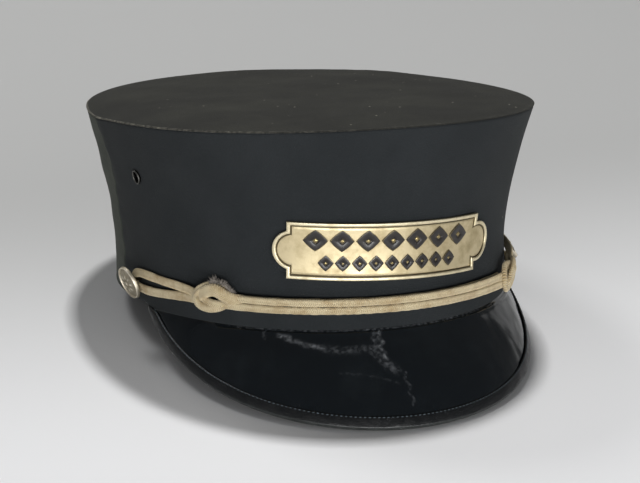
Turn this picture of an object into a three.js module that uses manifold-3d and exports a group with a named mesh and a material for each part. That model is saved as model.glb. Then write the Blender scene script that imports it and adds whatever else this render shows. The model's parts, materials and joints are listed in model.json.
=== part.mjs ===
// A porter's uniform cap of dark wool cloth, resting on a level surface.
// Units are millimetres. The cap is drawn level, with z = 0 at the lower edge of its side wall, the front
// towards -Y and the wearer's left towards +X, and is then tipped back on to its visor and its back edge.
// A place on the side wall is an angle, in degrees from the front, and a height, in millimetres.
import * as THREE from 'three';
import { mergeVertices } from 'three/addons/utils/BufferGeometryUtils.js';
import Module from 'manifold-3d';

const wasm = await Module();
wasm.setup();

// The small gap that keeps neighbouring pieces apart.
const GAP = 0.3;

// The head oval at the lower edge of the wall: its outside measures 585 mm round, for a 57 cm head.
const BAND = { halfWidth: 84, halfLength: 101 };

// The side wall. The seam with the top lies in a plane that falls gently to the back (fallBack, per mm) and
// to the wearer's left (fallLeft, per mm), and rises at front and back and sinks at the sides by saddle.
const WALL = { height: 78.5, thickness: 2.2, fallBack: -0.032, fallLeft: -0.006, saddle: 1.0 };

// Where the top seam has sunk at the worn side seam: its place, depth and reach in degrees.
const SUNK = { angle: -93, depth: 1.2, reach: 11 };

// How far the top seam stands out of the head oval: a mean and what each term adds to it round the oval.
const FLARE = { mean: 10.7, front: 3.5, side: -0.7, corner: -0.95, left: -0.65, length: 60, power: 1.62 };

// The side seams stand just behind the buttons.
const SEAM = { angle: 91 };

// Puckers and shallow dents of the worn cloth: place, depth inwards, and reach along and up the wall.
const DENTS = [
  { angle: -93, height: 58, depth: 1.3, reach: 4.5, rise: 14 },
  { angle: -88, height: 66, depth: -0.7, reach: 3.0, rise: 12 },
  { angle: -97, height: 30, depth: -0.6, reach: 5.0, rise: 12 },
  { angle: -108, height: 64, depth: -0.7, reach: 16, rise: 13 },
  { angle: 93, height: 52, depth: 1.0, reach: 4.5, rise: 15 },
  { angle: -50, height: 48, depth: 0.7, reach: 15, rise: 18 },
  { angle: 42, height: 58, depth: 0.6, reach: 13, rise: 16 },
  { angle: 150, height: 40, depth: 1.4, reach: 18, rise: 20 },
  { angle: -155, height: 46, depth: 1.0, reach: 16, rise: 22 },
];

// The top panel: thickness, the height of its dome, the shares of the way out that its flat middle and its
// lip over the seam take, the dome's power and the thickness of its edge.
const TOP = { thickness: 1.1, dome: 3.2, flat: 0.42, power: 2.4, lip: 0.004, edge: 0.7 };

// The visor: its width at the front, the angle where it ends, its slope below level at the front and how
// much steeper it hangs at its ends, its crown across the width and how far it is tucked under the wall.
const VISOR = { width: 45, end: 76.7, drawn: 75.2, power: 0.92, slope: 52.2, steeper: 12.6, crown: 2.2,
  thickness: 1.7, tuck: 0.8 };

// The strip folded over the visor's free edge.
const BINDING = { width: 4.2, thickness: 0.6 };

// The brass plate: a rectangle with square corners and a round bulge at each end, of which the one on the
// wearer's left stands out further. It sits a little askew: fall is the slope of its length.
const PLATE = { halfLength: 44, halfHeight: 12.15, bulgeRadius: 8.6, bulgeRight: -41.3, bulgeLeft: 45.0,
  bendRadius: 88, height: 31.2, fall: 0.04, rim: 1.7, rimThickness: 1.8, thickness: 1.25 };

// The rows of raised lozenges on the plate: count, spacing, size and height of the row above the middle.
const LOZENGE_ROWS = [
  { count: 7, pitch: 10.8, width: 9.6, height: 8.8, row: 4.7 },
  { count: 9, pitch: 7.0, width: 6.2, height: 6.2, row: -4.7 },
];
const LOZENGE = { base: 0.9, top: 1.7 };

// The eyelets and the holes that they line. They are stretched up the wall to an oval.
const EYELET = { angle: 74.0, height: 56.1, bore: 1.6, barrel: 2.05, flange: 2.7, lift: 0.7, hole: 2.35,
  stretch: 1.24 };

// The side buttons. The head's middle stands off the wall, and its face tilts down or up and turns along
// the wall, towards growing angles.
const BUTTON = { radius: 7.4, shank: 0.8, petals: 8 };
const BUTTONS = [
  { name: 'button_left', angle: -78.9, height: 8.8, out: 6.3, tilt: -20, turn: 7,
    shankAngle: -79.2, shankHeight: 9.7 },
  { name: 'button_right', angle: 79.7, height: 11.0, out: 6.8, tilt: 24, turn: 0,
    shankAngle: 79.7, shankHeight: 11.3 },
];

// The flat chin cord and its strands. Each route lists angle, height and distance off the wall.
const CORD = { width: 3.6, thickness: 2.1 };
const FRONT_STRANDS = [
  { name: 'cord_front_upper', width: 3.2, thickness: 2.0, route: [
    { angle: -44, height: 11.4, out: 3.5 }, { angle: -34, height: 11.1, out: 3.3 },
    { angle: -12, height: 11.0, out: 3.3 }, { angle: 12, height: 10.8, out: 3.3 },
    { angle: 30, height: 10.4, out: 3.3 }, { angle: 43.8, height: 9.6, out: 3.5 },
  ] },
  { name: 'cord_front_lower', width: 3.2, thickness: 2.0, route: [
    { angle: -44, height: 7.9, out: 3.5 }, { angle: -34, height: 7.6, out: 3.3 },
    { angle: -12, height: 7.5, out: 3.3 }, { angle: 12, height: 7.3, out: 3.3 },
    { angle: 30, height: 6.9, out: 3.3 }, { angle: 43.8, height: 6.1, out: 3.5 },
  ] },
  { name: 'cord_front_inner', width: 3.6, thickness: 1.4, route: [
    { angle: -44, height: 10.4, out: 1.1 }, { angle: -34, height: 10.7, out: 1.05 },
    { angle: -12, height: 10.8, out: 1.05 }, { angle: 12, height: 10.5, out: 1.05 },
    { angle: 30, height: 10.1, out: 1.05 }, { angle: 43.8, height: 9.4, out: 1.1 },
  ] },
];
// Each bight runs from its knot, at an angle on its own side, round the button's shank and back.
const BIGHTS = [
  { name: 'cord_bight_left', button: BUTTONS[0], knot: -55.6, knotHeight: 9.9 },
  { name: 'cord_bight_right', button: BUTTONS[1], knot: 55.4, knotHeight: 8.6 },
];
const BIGHT = { turn: 3.1, out: 1.6, knotSpread: 2.0, knotOut: 3.0 };

// The knots: each strand of a knot is a route, and a ring closes on itself. The cut end stands up by stub.
const KNOTS = [
  { name: 'knot_left', side: -1, angle: 49.6, height: 10.4, stub: 8.6 },
  { name: 'knot_right', side: 1, angle: 49.4, height: 7.9, stub: 5.4 },
];
const KNOT = { width: 3.6, thickness: 2.8, across: 5.2, up: 5.1, out: 3.0, frontOut: 5.1 };

const COLOURS = {
  topCloth: { color: 0x3c3c38, roughness: 0.95, metalness: 0 },
  wallCloth: { color: 0x2c2e30, roughness: 0.95, metalness: 0 },
  patent: { color: 0x14171a, roughness: 0.12, metalness: 0 },
  binding: { color: 0x2a2e2c, roughness: 0.8, metalness: 0 },
  brass: { color: 0xb9a878, roughness: 0.38, metalness: 1 },
  gilt: { color: 0xa89a72, roughness: 0.4, metalness: 1 },
  darkMetal: { color: 0x2b2c2c, roughness: 0.5, metalness: 1 },
  cord: { color: 0xc9b791, roughness: 0.9, metalness: 0 },
};

const rad = THREE.MathUtils.degToRad;
const point = (x, y, z) => new THREE.Vector3(x, y, z);

// The turn from one angle to another, between -180 and 180 degrees.
function angleBetween(angle, from) {
  return THREE.MathUtils.euclideanModulo(angle - from + 180, 360) - 180;
}

// The outward level normal of the head oval.
function outward(angle) {
  const t = rad(angle);
  return point(Math.sin(t) / BAND.halfWidth, -Math.cos(t) / BAND.halfLength, 0).normalize();
}

// The flare of the top seam round the oval.
function spread(angle) {
  const t = rad(angle);
  return FLARE.mean + FLARE.front * Math.cos(t) + FLARE.side * Math.cos(2 * t)
    + FLARE.corner * Math.cos(4 * t) + FLARE.left * Math.sin(t);
}

// The height of the sloping plane of the top above a place in plan.
function planeHeight(x, y) {
  return WALL.height + WALL.fallBack * y + WALL.fallLeft * x;
}

// How far the top seam stands over its sloping plane: the saddle, less the sunk stretch.
function seamRise(angle) {
  const turn = angleBetween(angle, SUNK.angle);
  return WALL.saddle * Math.cos(2 * rad(angle)) - SUNK.depth * Math.exp(-((turn / SUNK.reach) ** 2));
}

// A place in plan at a share of the way from the middle of the top to its seam.
function planPoint(angle, share) {
  const t = rad(angle);
  const flare = spread(angle);
  const x = (BAND.halfWidth + flare) * share * Math.sin(t);
  const y = -(BAND.halfLength + flare) * share * Math.cos(t);
  return point(x, y, 0);
}

// The height of the top seam.
function rimHeight(angle) {
  const rim = planPoint(angle, 1);
  return planeHeight(rim.x, rim.y) + seamRise(angle);
}

// How far the dents push the wall inwards.
function dent(angle, height) {
  let depth = 0;
  for (const row of DENTS) {
    const turn = angleBetween(angle, row.angle);
    depth += row.depth * Math.exp(-((turn / row.reach) ** 2) - ((height - row.height) / row.rise) ** 2);
  }
  return depth;
}

// A point on the outside of the wall, moved outwards by out.
function wallPoint(angle, height, out = 0) {
  const t = rad(angle);
  const below = THREE.MathUtils.clamp(1 - (rimHeight(angle) - height) / FLARE.length, 0, 1);
  const flare = spread(angle) * below ** FLARE.power;
  const across = (BAND.halfWidth + flare) * Math.sin(t);
  const along = -(BAND.halfLength + flare) * Math.cos(t);
  return point(across, along, height).addScaledVector(outward(angle), out - dent(angle, height));
}

// The wall's own directions at a place: along (towards growing angle), up the wall, and straight out.
function wallFrame(angle, height) {
  const step = 0.5;
  const along = wallPoint(angle + step, height).sub(wallPoint(angle - step, height)).normalize();
  const up = wallPoint(angle, height + step).sub(wallPoint(angle, height - step)).normalize();
  const out = along.clone().cross(up).normalize();
  return { along, up: out.clone().cross(along), out };
}

// Millimetres along the wall for each degree of angle.
function millimetresPerDegree(angle) {
  return wallPoint(angle + 0.5, 0).distanceTo(wallPoint(angle - 0.5, 0));
}

// Joins sections of equal point count, each a ribbon whose first half faces its second half reversed.
// A closed loft joins its last section to its first, and an open one gets a ladder of faces at each end.
function loft(sections, closed = false) {
  const size = sections[0].length;
  const positions = sections.flat().flatMap((p) => [p.x, p.y, p.z]);
  const index = [];
  const quad = (a, b, c, d) => index.push(a, b, c, a, c, d);
  const spans = closed ? sections.length : sections.length - 1;
  for (let i = 0; i < spans; i += 1) {
    const here = i * size;
    const next = ((i + 1) % sections.length) * size;
    for (let j = 0; j < size; j += 1) {
      const k = (j + 1) % size;
      quad(here + j, here + k, next + k, next + j);
    }
  }
  if (!closed) {
    const last = (sections.length - 1) * size;
    for (let j = 0; j < size / 2 - 1; j += 1) {
      const mate = size - 1 - j;
      quad(j, mate, mate - 1, j + 1);
      quad(last + j, last + j + 1, last + mate - 1, last + mate);
    }
  }
  const geometry = new THREE.BufferGeometry();
  geometry.setAttribute('position', new THREE.Float32BufferAttribute(positions, 3));
  geometry.setIndex(index);
  return facingOut(geometry);
}

// Turns every face round if the closed body has a negative volume.
function facingOut(geometry) {
  const p = geometry.attributes.position;
  const index = geometry.index;
  const [a, b, c] = [point(), point(), point()];
  let volume = 0;
  for (let i = 0; i < index.count; i += 3) {
    a.fromBufferAttribute(p, index.getX(i));
    b.fromBufferAttribute(p, index.getX(i + 1));
    c.fromBufferAttribute(p, index.getX(i + 2));
    volume += a.dot(b.cross(c));
  }
  if (volume < 0) {
    index.array.reverse();
  }
  return geometry;
}

// A manifold-3d solid of a closed geometry.
function solidOf(geometry) {
  const bare = geometry.clone();
  bare.deleteAttribute('normal');
  bare.deleteAttribute('uv');
  const merged = mergeVertices(bare, 1e-4);
  const vertProperties = new Float32Array(merged.attributes.position.array);
  const triVerts = new Uint32Array(merged.index.array);
  return new wasm.Manifold(new wasm.Mesh({ numProp: 3, vertProperties, triVerts }));
}

// The geometry of a manifold-3d solid.
function geometryOf(solid) {
  const mesh = solid.getMesh();
  const geometry = new THREE.BufferGeometry();
  geometry.setAttribute('position', new THREE.Float32BufferAttribute(mesh.vertProperties, 3));
  geometry.setIndex(Array.from(mesh.triVerts));
  return geometry;
}

// The fused geometry of several overlapping ones.
function fuse(geometries) {
  const [first, ...rest] = geometries.map(solidOf);
  return geometryOf(rest.reduce((whole, piece) => whole.add(piece), first));
}

// Evenly spaced values from first to last, both included.
function steps(first, last, count) {
  return Array.from({ length: count + 1 }, (_, i) => first + ((last - first) * i) / count);
}

// A named mesh with its own material.
function piece(name, geometry, look) {
  const material = new THREE.MeshStandardMaterial(look);
  const mesh = new THREE.Mesh(geometry, material);
  mesh.name = name;
  return mesh;
}

// One panel of the side wall, as upright ribbons: the outside from the bottom up, the inside back down.
const WALL_ROWS = [0, 0.25, 0.42, 0.55, 0.67, 0.78, 0.89, 1];
function wallPanel(firstAngle, lastAngle, count) {
  const half = GAP / 2 / millimetresPerDegree(SEAM.angle);
  const ribbon = (angle) => {
    const heights = WALL_ROWS.map((share) => share * rimHeight(angle));
    const outside = heights.map((height) => wallPoint(angle, height));
    const inside = heights.map((height) => wallPoint(angle, height, -WALL.thickness));
    return [...outside, ...inside.reverse()];
  };
  return loft(steps(firstAngle + half, lastAngle - half, count).map(ribbon));
}

// A cylinder along the wall's outward direction, longer than the wall is thick.
function wallDrill(angle, height, radius) {
  const drill = new THREE.CylinderGeometry(radius, radius, 4 * WALL.thickness, 12);
  drill.rotateX(Math.PI / 2).scale(1, EYELET.stretch, 1);
  return drill.applyMatrix4(wallMatrix(angle, height, -WALL.thickness / 2));
}

// The placement of a shape drawn with its Z along the wall's outward direction and Y up the wall.
function wallMatrix(angle, height, out, tilt = 0, swing = 0) {
  const frame = wallFrame(angle, height);
  const turn = new THREE.Matrix4().makeBasis(frame.along, frame.up, frame.out);
  const lean = new THREE.Matrix4().makeRotationY(rad(swing));
  lean.multiply(new THREE.Matrix4().makeRotationX(-rad(tilt)));
  const origin = wallPoint(angle, height).addScaledVector(frame.out, out);
  return new THREE.Matrix4().setPosition(origin).multiply(turn).multiply(lean);
}

// The front panel with its two eyelet holes.
function crownFront() {
  let panel = solidOf(wallPanel(-SEAM.angle, SEAM.angle, 44));
  for (const side of [-1, 1]) {
    panel = panel.subtract(solidOf(wallDrill(side * EYELET.angle, EYELET.height, EYELET.hole)));
  }
  return piece('crown_front', geometryOf(panel), COLOURS.wallCloth);
}

function crownBack() {
  return piece('crown_back', wallPanel(SEAM.angle, 360 - SEAM.angle, 34), COLOURS.wallCloth);
}

// The top panel, turned round its middle as a profile of share of the way out and height over the seam,
// then drawn out to the oval. Its middle is flat above and below.
function crownTop() {
  const outwardShare = (share) => Math.max(0, (share - TOP.flat) / (1 - TOP.flat));
  const dome = (share) => TOP.dome * (1 - outwardShare(share) ** TOP.power);
  const under = (share) => new THREE.Vector2(share, GAP + dome(share));
  const over = (share) => new THREE.Vector2(share, GAP + dome(share) + TOP.thickness);
  const edge = [
    new THREE.Vector2(1.0, GAP),
    new THREE.Vector2(1 + TOP.lip, GAP + TOP.edge * 0.3),
    new THREE.Vector2(1 + TOP.lip, GAP + TOP.edge * 0.7),
    new THREE.Vector2(0.99, GAP + TOP.edge * 1.2),
  ];
  const profile = [0, TOP.flat, 0.65, 0.85].map(under)
    .concat(edge, [0.95, 0.85, 0.7, 0.55, TOP.flat, 0].map(over));
  const geometry = new THREE.LatheGeometry(profile, 60);
  const p = geometry.attributes.position;
  for (let i = 0; i < p.count; i += 1) {
    const share = Math.hypot(p.getX(i), p.getZ(i));
    const angle = THREE.MathUtils.radToDeg(Math.atan2(p.getX(i), p.getZ(i)));
    const plan = planPoint(angle, share);
    const height = planeHeight(plan.x, plan.y) + seamRise(angle) * outwardShare(share) ** 2 + p.getY(i);
    p.setXYZ(i, plan.x, plan.y, height);
  }
  const merged = mergeVertices(geometry.deleteAttribute('normal').deleteAttribute('uv'), 1e-4);
  return piece('crown_top', facingOut(withoutSlivers(merged)), COLOURS.topCloth);
}

// Drops the faces that collapse to a line at a pole.
function withoutSlivers(geometry) {
  const old = geometry.index;
  const kept = [];
  for (let i = 0; i < old.count; i += 3) {
    const [a, b, c] = [old.getX(i), old.getX(i + 1), old.getX(i + 2)];
    if (a !== b && b !== c && c !== a) {
      kept.push(a, b, c);
    }
  }
  geometry.setIndex(kept);
  return geometry;
}

// The visor's width at an angle: widest at the front, nothing at its ends.
function visorWidth(angle) {
  return VISOR.width * Math.cos(rad((90 * angle) / VISOR.end)) ** VISOR.power;
}

// A point on the visor: share of the width from the wall to the free edge, lifted above the upper face.
// Past the free edge, beyond carries the point on along the surface.
function visorPoint(angle, share, lift = 0, beyond = 0) {
  const width = visorWidth(angle);
  const slope = rad(VISOR.slope + VISOR.steeper * (angle / VISOR.end) ** 2);
  const level = outward(angle);
  const along = level.clone().multiplyScalar(Math.cos(slope)).add(point(0, 0, -Math.sin(slope)));
  const across = level.clone().multiplyScalar(Math.sin(slope)).add(point(0, 0, Math.cos(slope)));
  const crown = VISOR.crown * (width / VISOR.width);
  const bend = Math.atan((4 * crown * (1 - 2 * share)) / width);
  const root = wallPoint(angle, 0, -VISOR.tuck).add(point(0, 0, -GAP));
  const surface = root.addScaledVector(along, share * width)
    .addScaledVector(across, 4 * crown * share * (1 - share));
  const tangent = along.clone().multiplyScalar(Math.cos(bend)).addScaledVector(across, Math.sin(bend));
  const normal = across.clone().multiplyScalar(Math.cos(bend)).addScaledVector(along, -Math.sin(bend));
  return surface.addScaledVector(normal, lift).addScaledVector(tangent, beyond);
}

function visor() {
  const shares = [0, 0.2, 0.4, 0.6, 0.8, 1];
  const section = (angle) => [
    ...shares.map((share) => visorPoint(angle, share)),
    ...shares.map((share) => visorPoint(angle, share, -VISOR.thickness)).reverse(),
  ];
  return piece('visor', loft(steps(-VISOR.drawn, VISOR.drawn, 40).map(section)), COLOURS.patent);
}

// The folded strip, as a hooked ribbon round the visor's free edge with the gap all round it.
function visorBinding() {
  const outerLift = GAP + BINDING.thickness;
  const lowerInner = -VISOR.thickness - GAP;
  const lowerOuter = lowerInner - BINDING.thickness;
  const section = (angle) => {
    const reach = Math.min(BINDING.width / visorWidth(angle), 0.6);
    const legs = [1 - reach, 1];
    return [
      ...legs.map((share) => visorPoint(angle, share, outerLift)),
      visorPoint(angle, 1, outerLift - 0.5, GAP + BINDING.thickness),
      visorPoint(angle, 1, lowerOuter + 0.5, GAP + BINDING.thickness),
      ...legs.map((share) => visorPoint(angle, share, lowerOuter)).reverse(),
      ...legs.map((share) => visorPoint(angle, share, lowerInner)),
      visorPoint(angle, 1, lowerInner + 0.1, GAP),
      visorPoint(angle, 1, GAP - 0.1, GAP),
      ...legs.map((share) => visorPoint(angle, share, GAP)).reverse(),
    ];
  };
  const sections = steps(-VISOR.drawn, VISOR.drawn, 40).map(section);
  return piece('visor_binding', loft(sections), COLOURS.binding);
}

// A point on the badge plate: along its length, up from its middle and out from its back.
function platePoint(u, v, w) {
  const angle = THREE.MathUtils.radToDeg((u + PLATE.fall * v) / PLATE.bendRadius);
  return wallPoint(angle, PLATE.height + v - PLATE.fall * u, GAP + w);
}

// Half the plate's height at a place along its length, taken in from its outline by inset.
function plateHalfHeight(u, inset) {
  const length = Math.abs(u);
  if (length <= PLATE.halfLength - inset) {
    return PLATE.halfHeight - inset;
  }
  const centre = u < 0 ? PLATE.bulgeRight : PLATE.bulgeLeft;
  const past = Math.max(0, length - Math.abs(centre));
  return Math.sqrt(Math.max(0, (PLATE.bulgeRadius - inset) ** 2 - past ** 2));
}

// The places of the plate's upright sections on one side, from the tip of its bulge inwards.
function plateStations(bulgeCentre) {
  const tip = Math.abs(bulgeCentre) + PLATE.bulgeRadius;
  const innerTip = tip - PLATE.rim;
  const bulge = [tip - 0.05, tip - 0.5, innerTip + 0.02, innerTip - 0.05, innerTip - 1.2, innerTip - 3.2];
  const corner = [PLATE.halfLength + 0.02, PLATE.halfLength - 0.02];
  const field = [PLATE.halfLength - PLATE.rim + 0.02, PLATE.halfLength - PLATE.rim - 0.02];
  return [...bulge, ...corner, ...field, 36, 30, 24, 18, 12, 6].map((u) => Math.sign(bulgeCentre) * u);
}

// The plate as upright sections along its length, with a raised rim round a lower field.
function plateBody() {
  const lengths = [...plateStations(PLATE.bulgeRight), 0, ...plateStations(PLATE.bulgeLeft).reverse()];
  const section = (u) => {
    const centre = u < 0 ? PLATE.bulgeRight : PLATE.bulgeLeft;
    const inField = Math.abs(u) < Math.abs(centre) + PLATE.bulgeRadius - PLATE.rim;
    const outer = plateHalfHeight(u, 0);
    const inner = inField ? plateHalfHeight(u, PLATE.rim) : 0.5 * outer;
    const level = inField ? PLATE.thickness : PLATE.rimThickness;
    return [
      platePoint(u, -outer, 0), platePoint(u, -outer, PLATE.rimThickness),
      platePoint(u, -inner, PLATE.rimThickness), platePoint(u, -inner, level),
      platePoint(u, inner, level), platePoint(u, inner, PLATE.rimThickness),
      platePoint(u, outer, PLATE.rimThickness), platePoint(u, outer, 0),
    ];
  };
  return loft(lengths.map(section));
}

// A raised lozenge on the plate.
function lozenge(u, v, width, height) {
  const shape = new THREE.Shape();
  shape.moveTo(-width / 2, 0);
  shape.lineTo(0, -height / 2);
  shape.lineTo(width / 2, 0);
  shape.lineTo(0, height / 2);
  shape.closePath();
  const prism = new THREE.ExtrudeGeometry(shape, { depth: LOZENGE.top - LOZENGE.base, bevelEnabled: false });
  const origin = platePoint(u, v, LOZENGE.base);
  const along = platePoint(u + 1, v, LOZENGE.base).sub(platePoint(u - 1, v, LOZENGE.base)).normalize();
  const up = platePoint(u, v + 1, LOZENGE.base).sub(platePoint(u, v - 1, LOZENGE.base)).normalize();
  const out = along.clone().cross(up).normalize();
  const turn = new THREE.Matrix4().makeBasis(along, out.clone().cross(along), out);
  return prism.applyMatrix4(new THREE.Matrix4().setPosition(origin).multiply(turn));
}

function badgePlate() {
  const ornaments = LOZENGE_ROWS.flatMap((row) => steps(0, row.count - 1, row.count - 1)
    .map((i) => lozenge((i - (row.count - 1) / 2) * row.pitch, row.row, row.width, row.height)));
  return piece('badge_plate', fuse([plateBody(), ...ornaments]), COLOURS.brass);
}

// A flanged ring that lines a hole in the wall.
function eyelet(name, side) {
  const depth = WALL.thickness + GAP;
  const profile = [
    [EYELET.bore, -depth], [EYELET.barrel, -depth], [EYELET.barrel, GAP], [EYELET.flange, GAP],
    [EYELET.flange - 0.2, GAP + EYELET.lift * 0.7], [EYELET.bore + 0.4, GAP + EYELET.lift],
    [EYELET.bore, GAP + EYELET.lift * 0.6], [EYELET.bore, -depth],
  ].map(([radius, height]) => new THREE.Vector2(radius, height));
  const ring = new THREE.LatheGeometry(profile, 12).rotateX(Math.PI / 2).scale(1, EYELET.stretch, 1);
  const placed = ring.applyMatrix4(wallMatrix(side * EYELET.angle, EYELET.height, 0));
  return piece(name, geometryOf(solidOf(placed)), COLOURS.darkMetal);
}

// A button: a domed head with a raised rim and a ring of petals, on a thin shank from the wall.
function button({ name, angle, height, out, tilt, turn, shankAngle, shankHeight }) {
  const profile = [
    [0, -1.1], [BUTTON.radius * 0.93, -1.1], [BUTTON.radius, -0.4], [BUTTON.radius * 0.97, 0.4],
    [BUTTON.radius * 0.9, 0.5], [BUTTON.radius * 0.84, 0.1], [BUTTON.radius * 0.5, 0.8], [0, 1.1],
  ].map(([radius, level]) => new THREE.Vector2(radius, level));
  const head = new THREE.LatheGeometry(profile, 20).rotateX(Math.PI / 2);
  const petals = steps(0, BUTTON.petals - 1, BUTTON.petals - 1).map((i) => {
    const petal = new THREE.SphereGeometry(1, 5, 4).scale(2.0, 0.9, 0.55);
    return petal.translate(3.2, 0, 0.75).rotateZ((2 * Math.PI * i) / BUTTON.petals);
  });
  const placement = wallMatrix(angle, height, out, tilt, turn);
  const placed = [head, ...petals].map((geometry) => geometry.applyMatrix4(placement));
  const foot = wallPoint(shankAngle, shankHeight, GAP);
  const knee = wallPoint(shankAngle, shankHeight, BIGHT.out + CORD.thickness / 2 + GAP);
  const back = point(0, 0, -0.8).applyMatrix4(placement);
  const route = new THREE.CatmullRomCurve3([foot, knee, back]);
  const round = new THREE.Shape().absarc(0, 0, BUTTON.shank, 0, 2 * Math.PI);
  const shank = new THREE.ExtrudeGeometry(round, { steps: 5, curveSegments: 4, extrudePath: route });
  return piece(name, fuse([...placed, shank]), COLOURS.gilt);
}

// A flat cord along a route on the wall. Its section, an oval of eight points, turns with the wall.
function flatCord(route, count, width, thickness, closed = false) {
  const curve = new THREE.CatmullRomCurve3(route.map((p) => point(p.angle, p.height, p.out)), closed);
  const places = curve.getPoints(count).slice(0, closed ? count : count + 1);
  const centres = places.map((p) => wallPoint(p.x, p.y, p.z));
  const last = places.length - 1;
  const sections = centres.map((centre, i) => {
    const after = centres[closed ? (i + 1) % places.length : Math.min(i + 1, last)];
    const before = centres[closed ? (i + last) % places.length : Math.max(i - 1, 0)];
    const tangent = after.clone().sub(before).normalize();
    const side = wallFrame(places[i].x, places[i].y).out.cross(tangent).normalize();
    const out = tangent.clone().cross(side);
    return steps(0, 7, 7).map((k) => {
      const turn = rad(22.5 + 45 * k);
      return centre.clone().addScaledVector(side, (width / 2) * Math.cos(turn) * 1.08)
        .addScaledVector(out, (thickness / 2) * Math.sin(turn) * 1.08);
    });
  });
  return loft(sections, closed);
}

function frontStrands() {
  return FRONT_STRANDS.map(({ name, width, thickness, route }) => (
    piece(name, flatCord(route, 26, width, thickness), COLOURS.cord)));
}

// A bight: out along the upper strand, round the shank, and back along the lower one.
function bight({ name, button: { shankAngle, shankHeight }, knot: start, knotHeight }) {
  const scale = millimetresPerDegree(shankAngle);
  const side = Math.sign(shankAngle);
  const place = (past, rise, out = BIGHT.out) => (
    { angle: shankAngle + side * past, height: shankHeight + rise, out });
  const towardsKnot = (share) => share * (Math.abs(start) - Math.abs(shankAngle));
  const knotRise = knotHeight - shankHeight;
  const turn = [60, 30, 0, -30, -60].map((degrees) => place(
    (BIGHT.turn * Math.cos(rad(degrees))) / scale,
    BIGHT.turn * Math.sin(rad(degrees)),
  ));
  const route = [
    place(towardsKnot(1), knotRise + BIGHT.knotSpread, BIGHT.knotOut),
    place(towardsKnot(0.87), knotRise + BIGHT.knotSpread + 0.3, 2.2),
    place(towardsKnot(0.42), BIGHT.turn + 0.4),
    place(towardsKnot(0.11), BIGHT.turn + 0.1),
    ...turn,
    place(towardsKnot(0.11), -BIGHT.turn),
    place(towardsKnot(0.42), -BIGHT.turn + 0.6),
    place(towardsKnot(0.87), knotRise - BIGHT.knotSpread - 0.1, 2.2),
    place(towardsKnot(1), knotRise - BIGHT.knotSpread, BIGHT.knotOut),
  ];
  return piece(name, flatCord(route, 38, CORD.width, CORD.thickness), COLOURS.cord);
}

// A sliding knot: a ring of cord, a strand that crosses it up to the cut end, and one that leaves it below.
function knot({ name, side, angle, height, stub }) {
  const scale = millimetresPerDegree(angle);
  const place = (x, z, out) => ({ angle: side * (angle - x / scale), height: height + z, out });
  const circle = steps(0, 330, 11).map((degrees) => place(
    -1.6 + KNOT.across * Math.cos(rad(degrees)),
    KNOT.up * Math.sin(rad(degrees)),
    KNOT.out + 0.5 * Math.cos(rad(degrees)),
  ));
  const crossing = [
    place(-4.4, -0.8, KNOT.out), place(-1.9, 2.0, KNOT.frontOut), place(1.4, 4.3, KNOT.frontOut),
    place(4.4, stub * 0.75, KNOT.out + 0.6), place(5.2, stub + 0.6, KNOT.out),
  ];
  const leaving = [
    place(-2.2, -3.2, KNOT.out + 0.8), place(1.8, -2.6, KNOT.frontOut - 0.4),
    place(5.0, -1.2, KNOT.out + 1.0), place(8.2, -0.5, KNOT.out),
  ];
  const strand = (route, count) => flatCord(route, count, KNOT.width, KNOT.thickness);
  const loop = flatCord(circle, 18, KNOT.width, KNOT.thickness, true);
  return piece(name, fuse([loop, strand(crossing, 8), strand(leaving, 6)]), COLOURS.cord);
}

// The cap, level, with every piece in its place.
function levelCap() {
  const cap = new THREE.Group();
  cap.add(crownTop(), crownFront(), crownBack(), visor(), visorBinding(), badgePlate());
  cap.add(eyelet('eyelet_left', -1), eyelet('eyelet_right', 1));
  cap.add(...BUTTONS.map(button), ...frontStrands(), ...BIGHTS.map(bight), ...KNOTS.map(knot));
  return cap;
}

// The angle at which the cap leans back when it stands on its back edge and the visor's lowest edge.
function restAngle(cap) {
  const heel = wallPoint(180, 0);
  const edge = cap.getObjectByName('visor_binding').geometry.attributes.position;
  let steepest = 0;
  for (let i = 0; i < edge.count; i += 1) {
    steepest = Math.max(steepest, Math.atan2(heel.z - edge.getZ(i), heel.y - edge.getY(i)));
  }
  return steepest;
}

// The resting cap, with the middle of its box over the origin and its lowest points at z = 0.
const cap = levelCap();
cap.rotation.x = -restAngle(cap);
cap.updateMatrixWorld(true);
const box = new THREE.Box3().setFromObject(cap, true);
const middle = box.getCenter(point());
cap.position.set(-middle.x, -middle.y, -box.min.z);

const resting = new THREE.Group();
resting.add(cap);
export default resting;
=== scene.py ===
"""A railroad porter's uniform cap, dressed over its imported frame.

The cap is worked out level, in millimetres, on the oval of the head that it fits. A place on its side wall
is an angle in degrees from the front, towards the wearer's left, and a height above the wall's lower edge.
The level shapes are then leant back and moved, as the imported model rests, and put into metres.
"""
from __future__ import annotations

import json
import logging
import math
from dataclasses import dataclass
from enum import Enum
from typing import ClassVar, Sequence

import bmesh
import bpy
import numpy as np
from mathutils import Matrix, Vector


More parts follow.
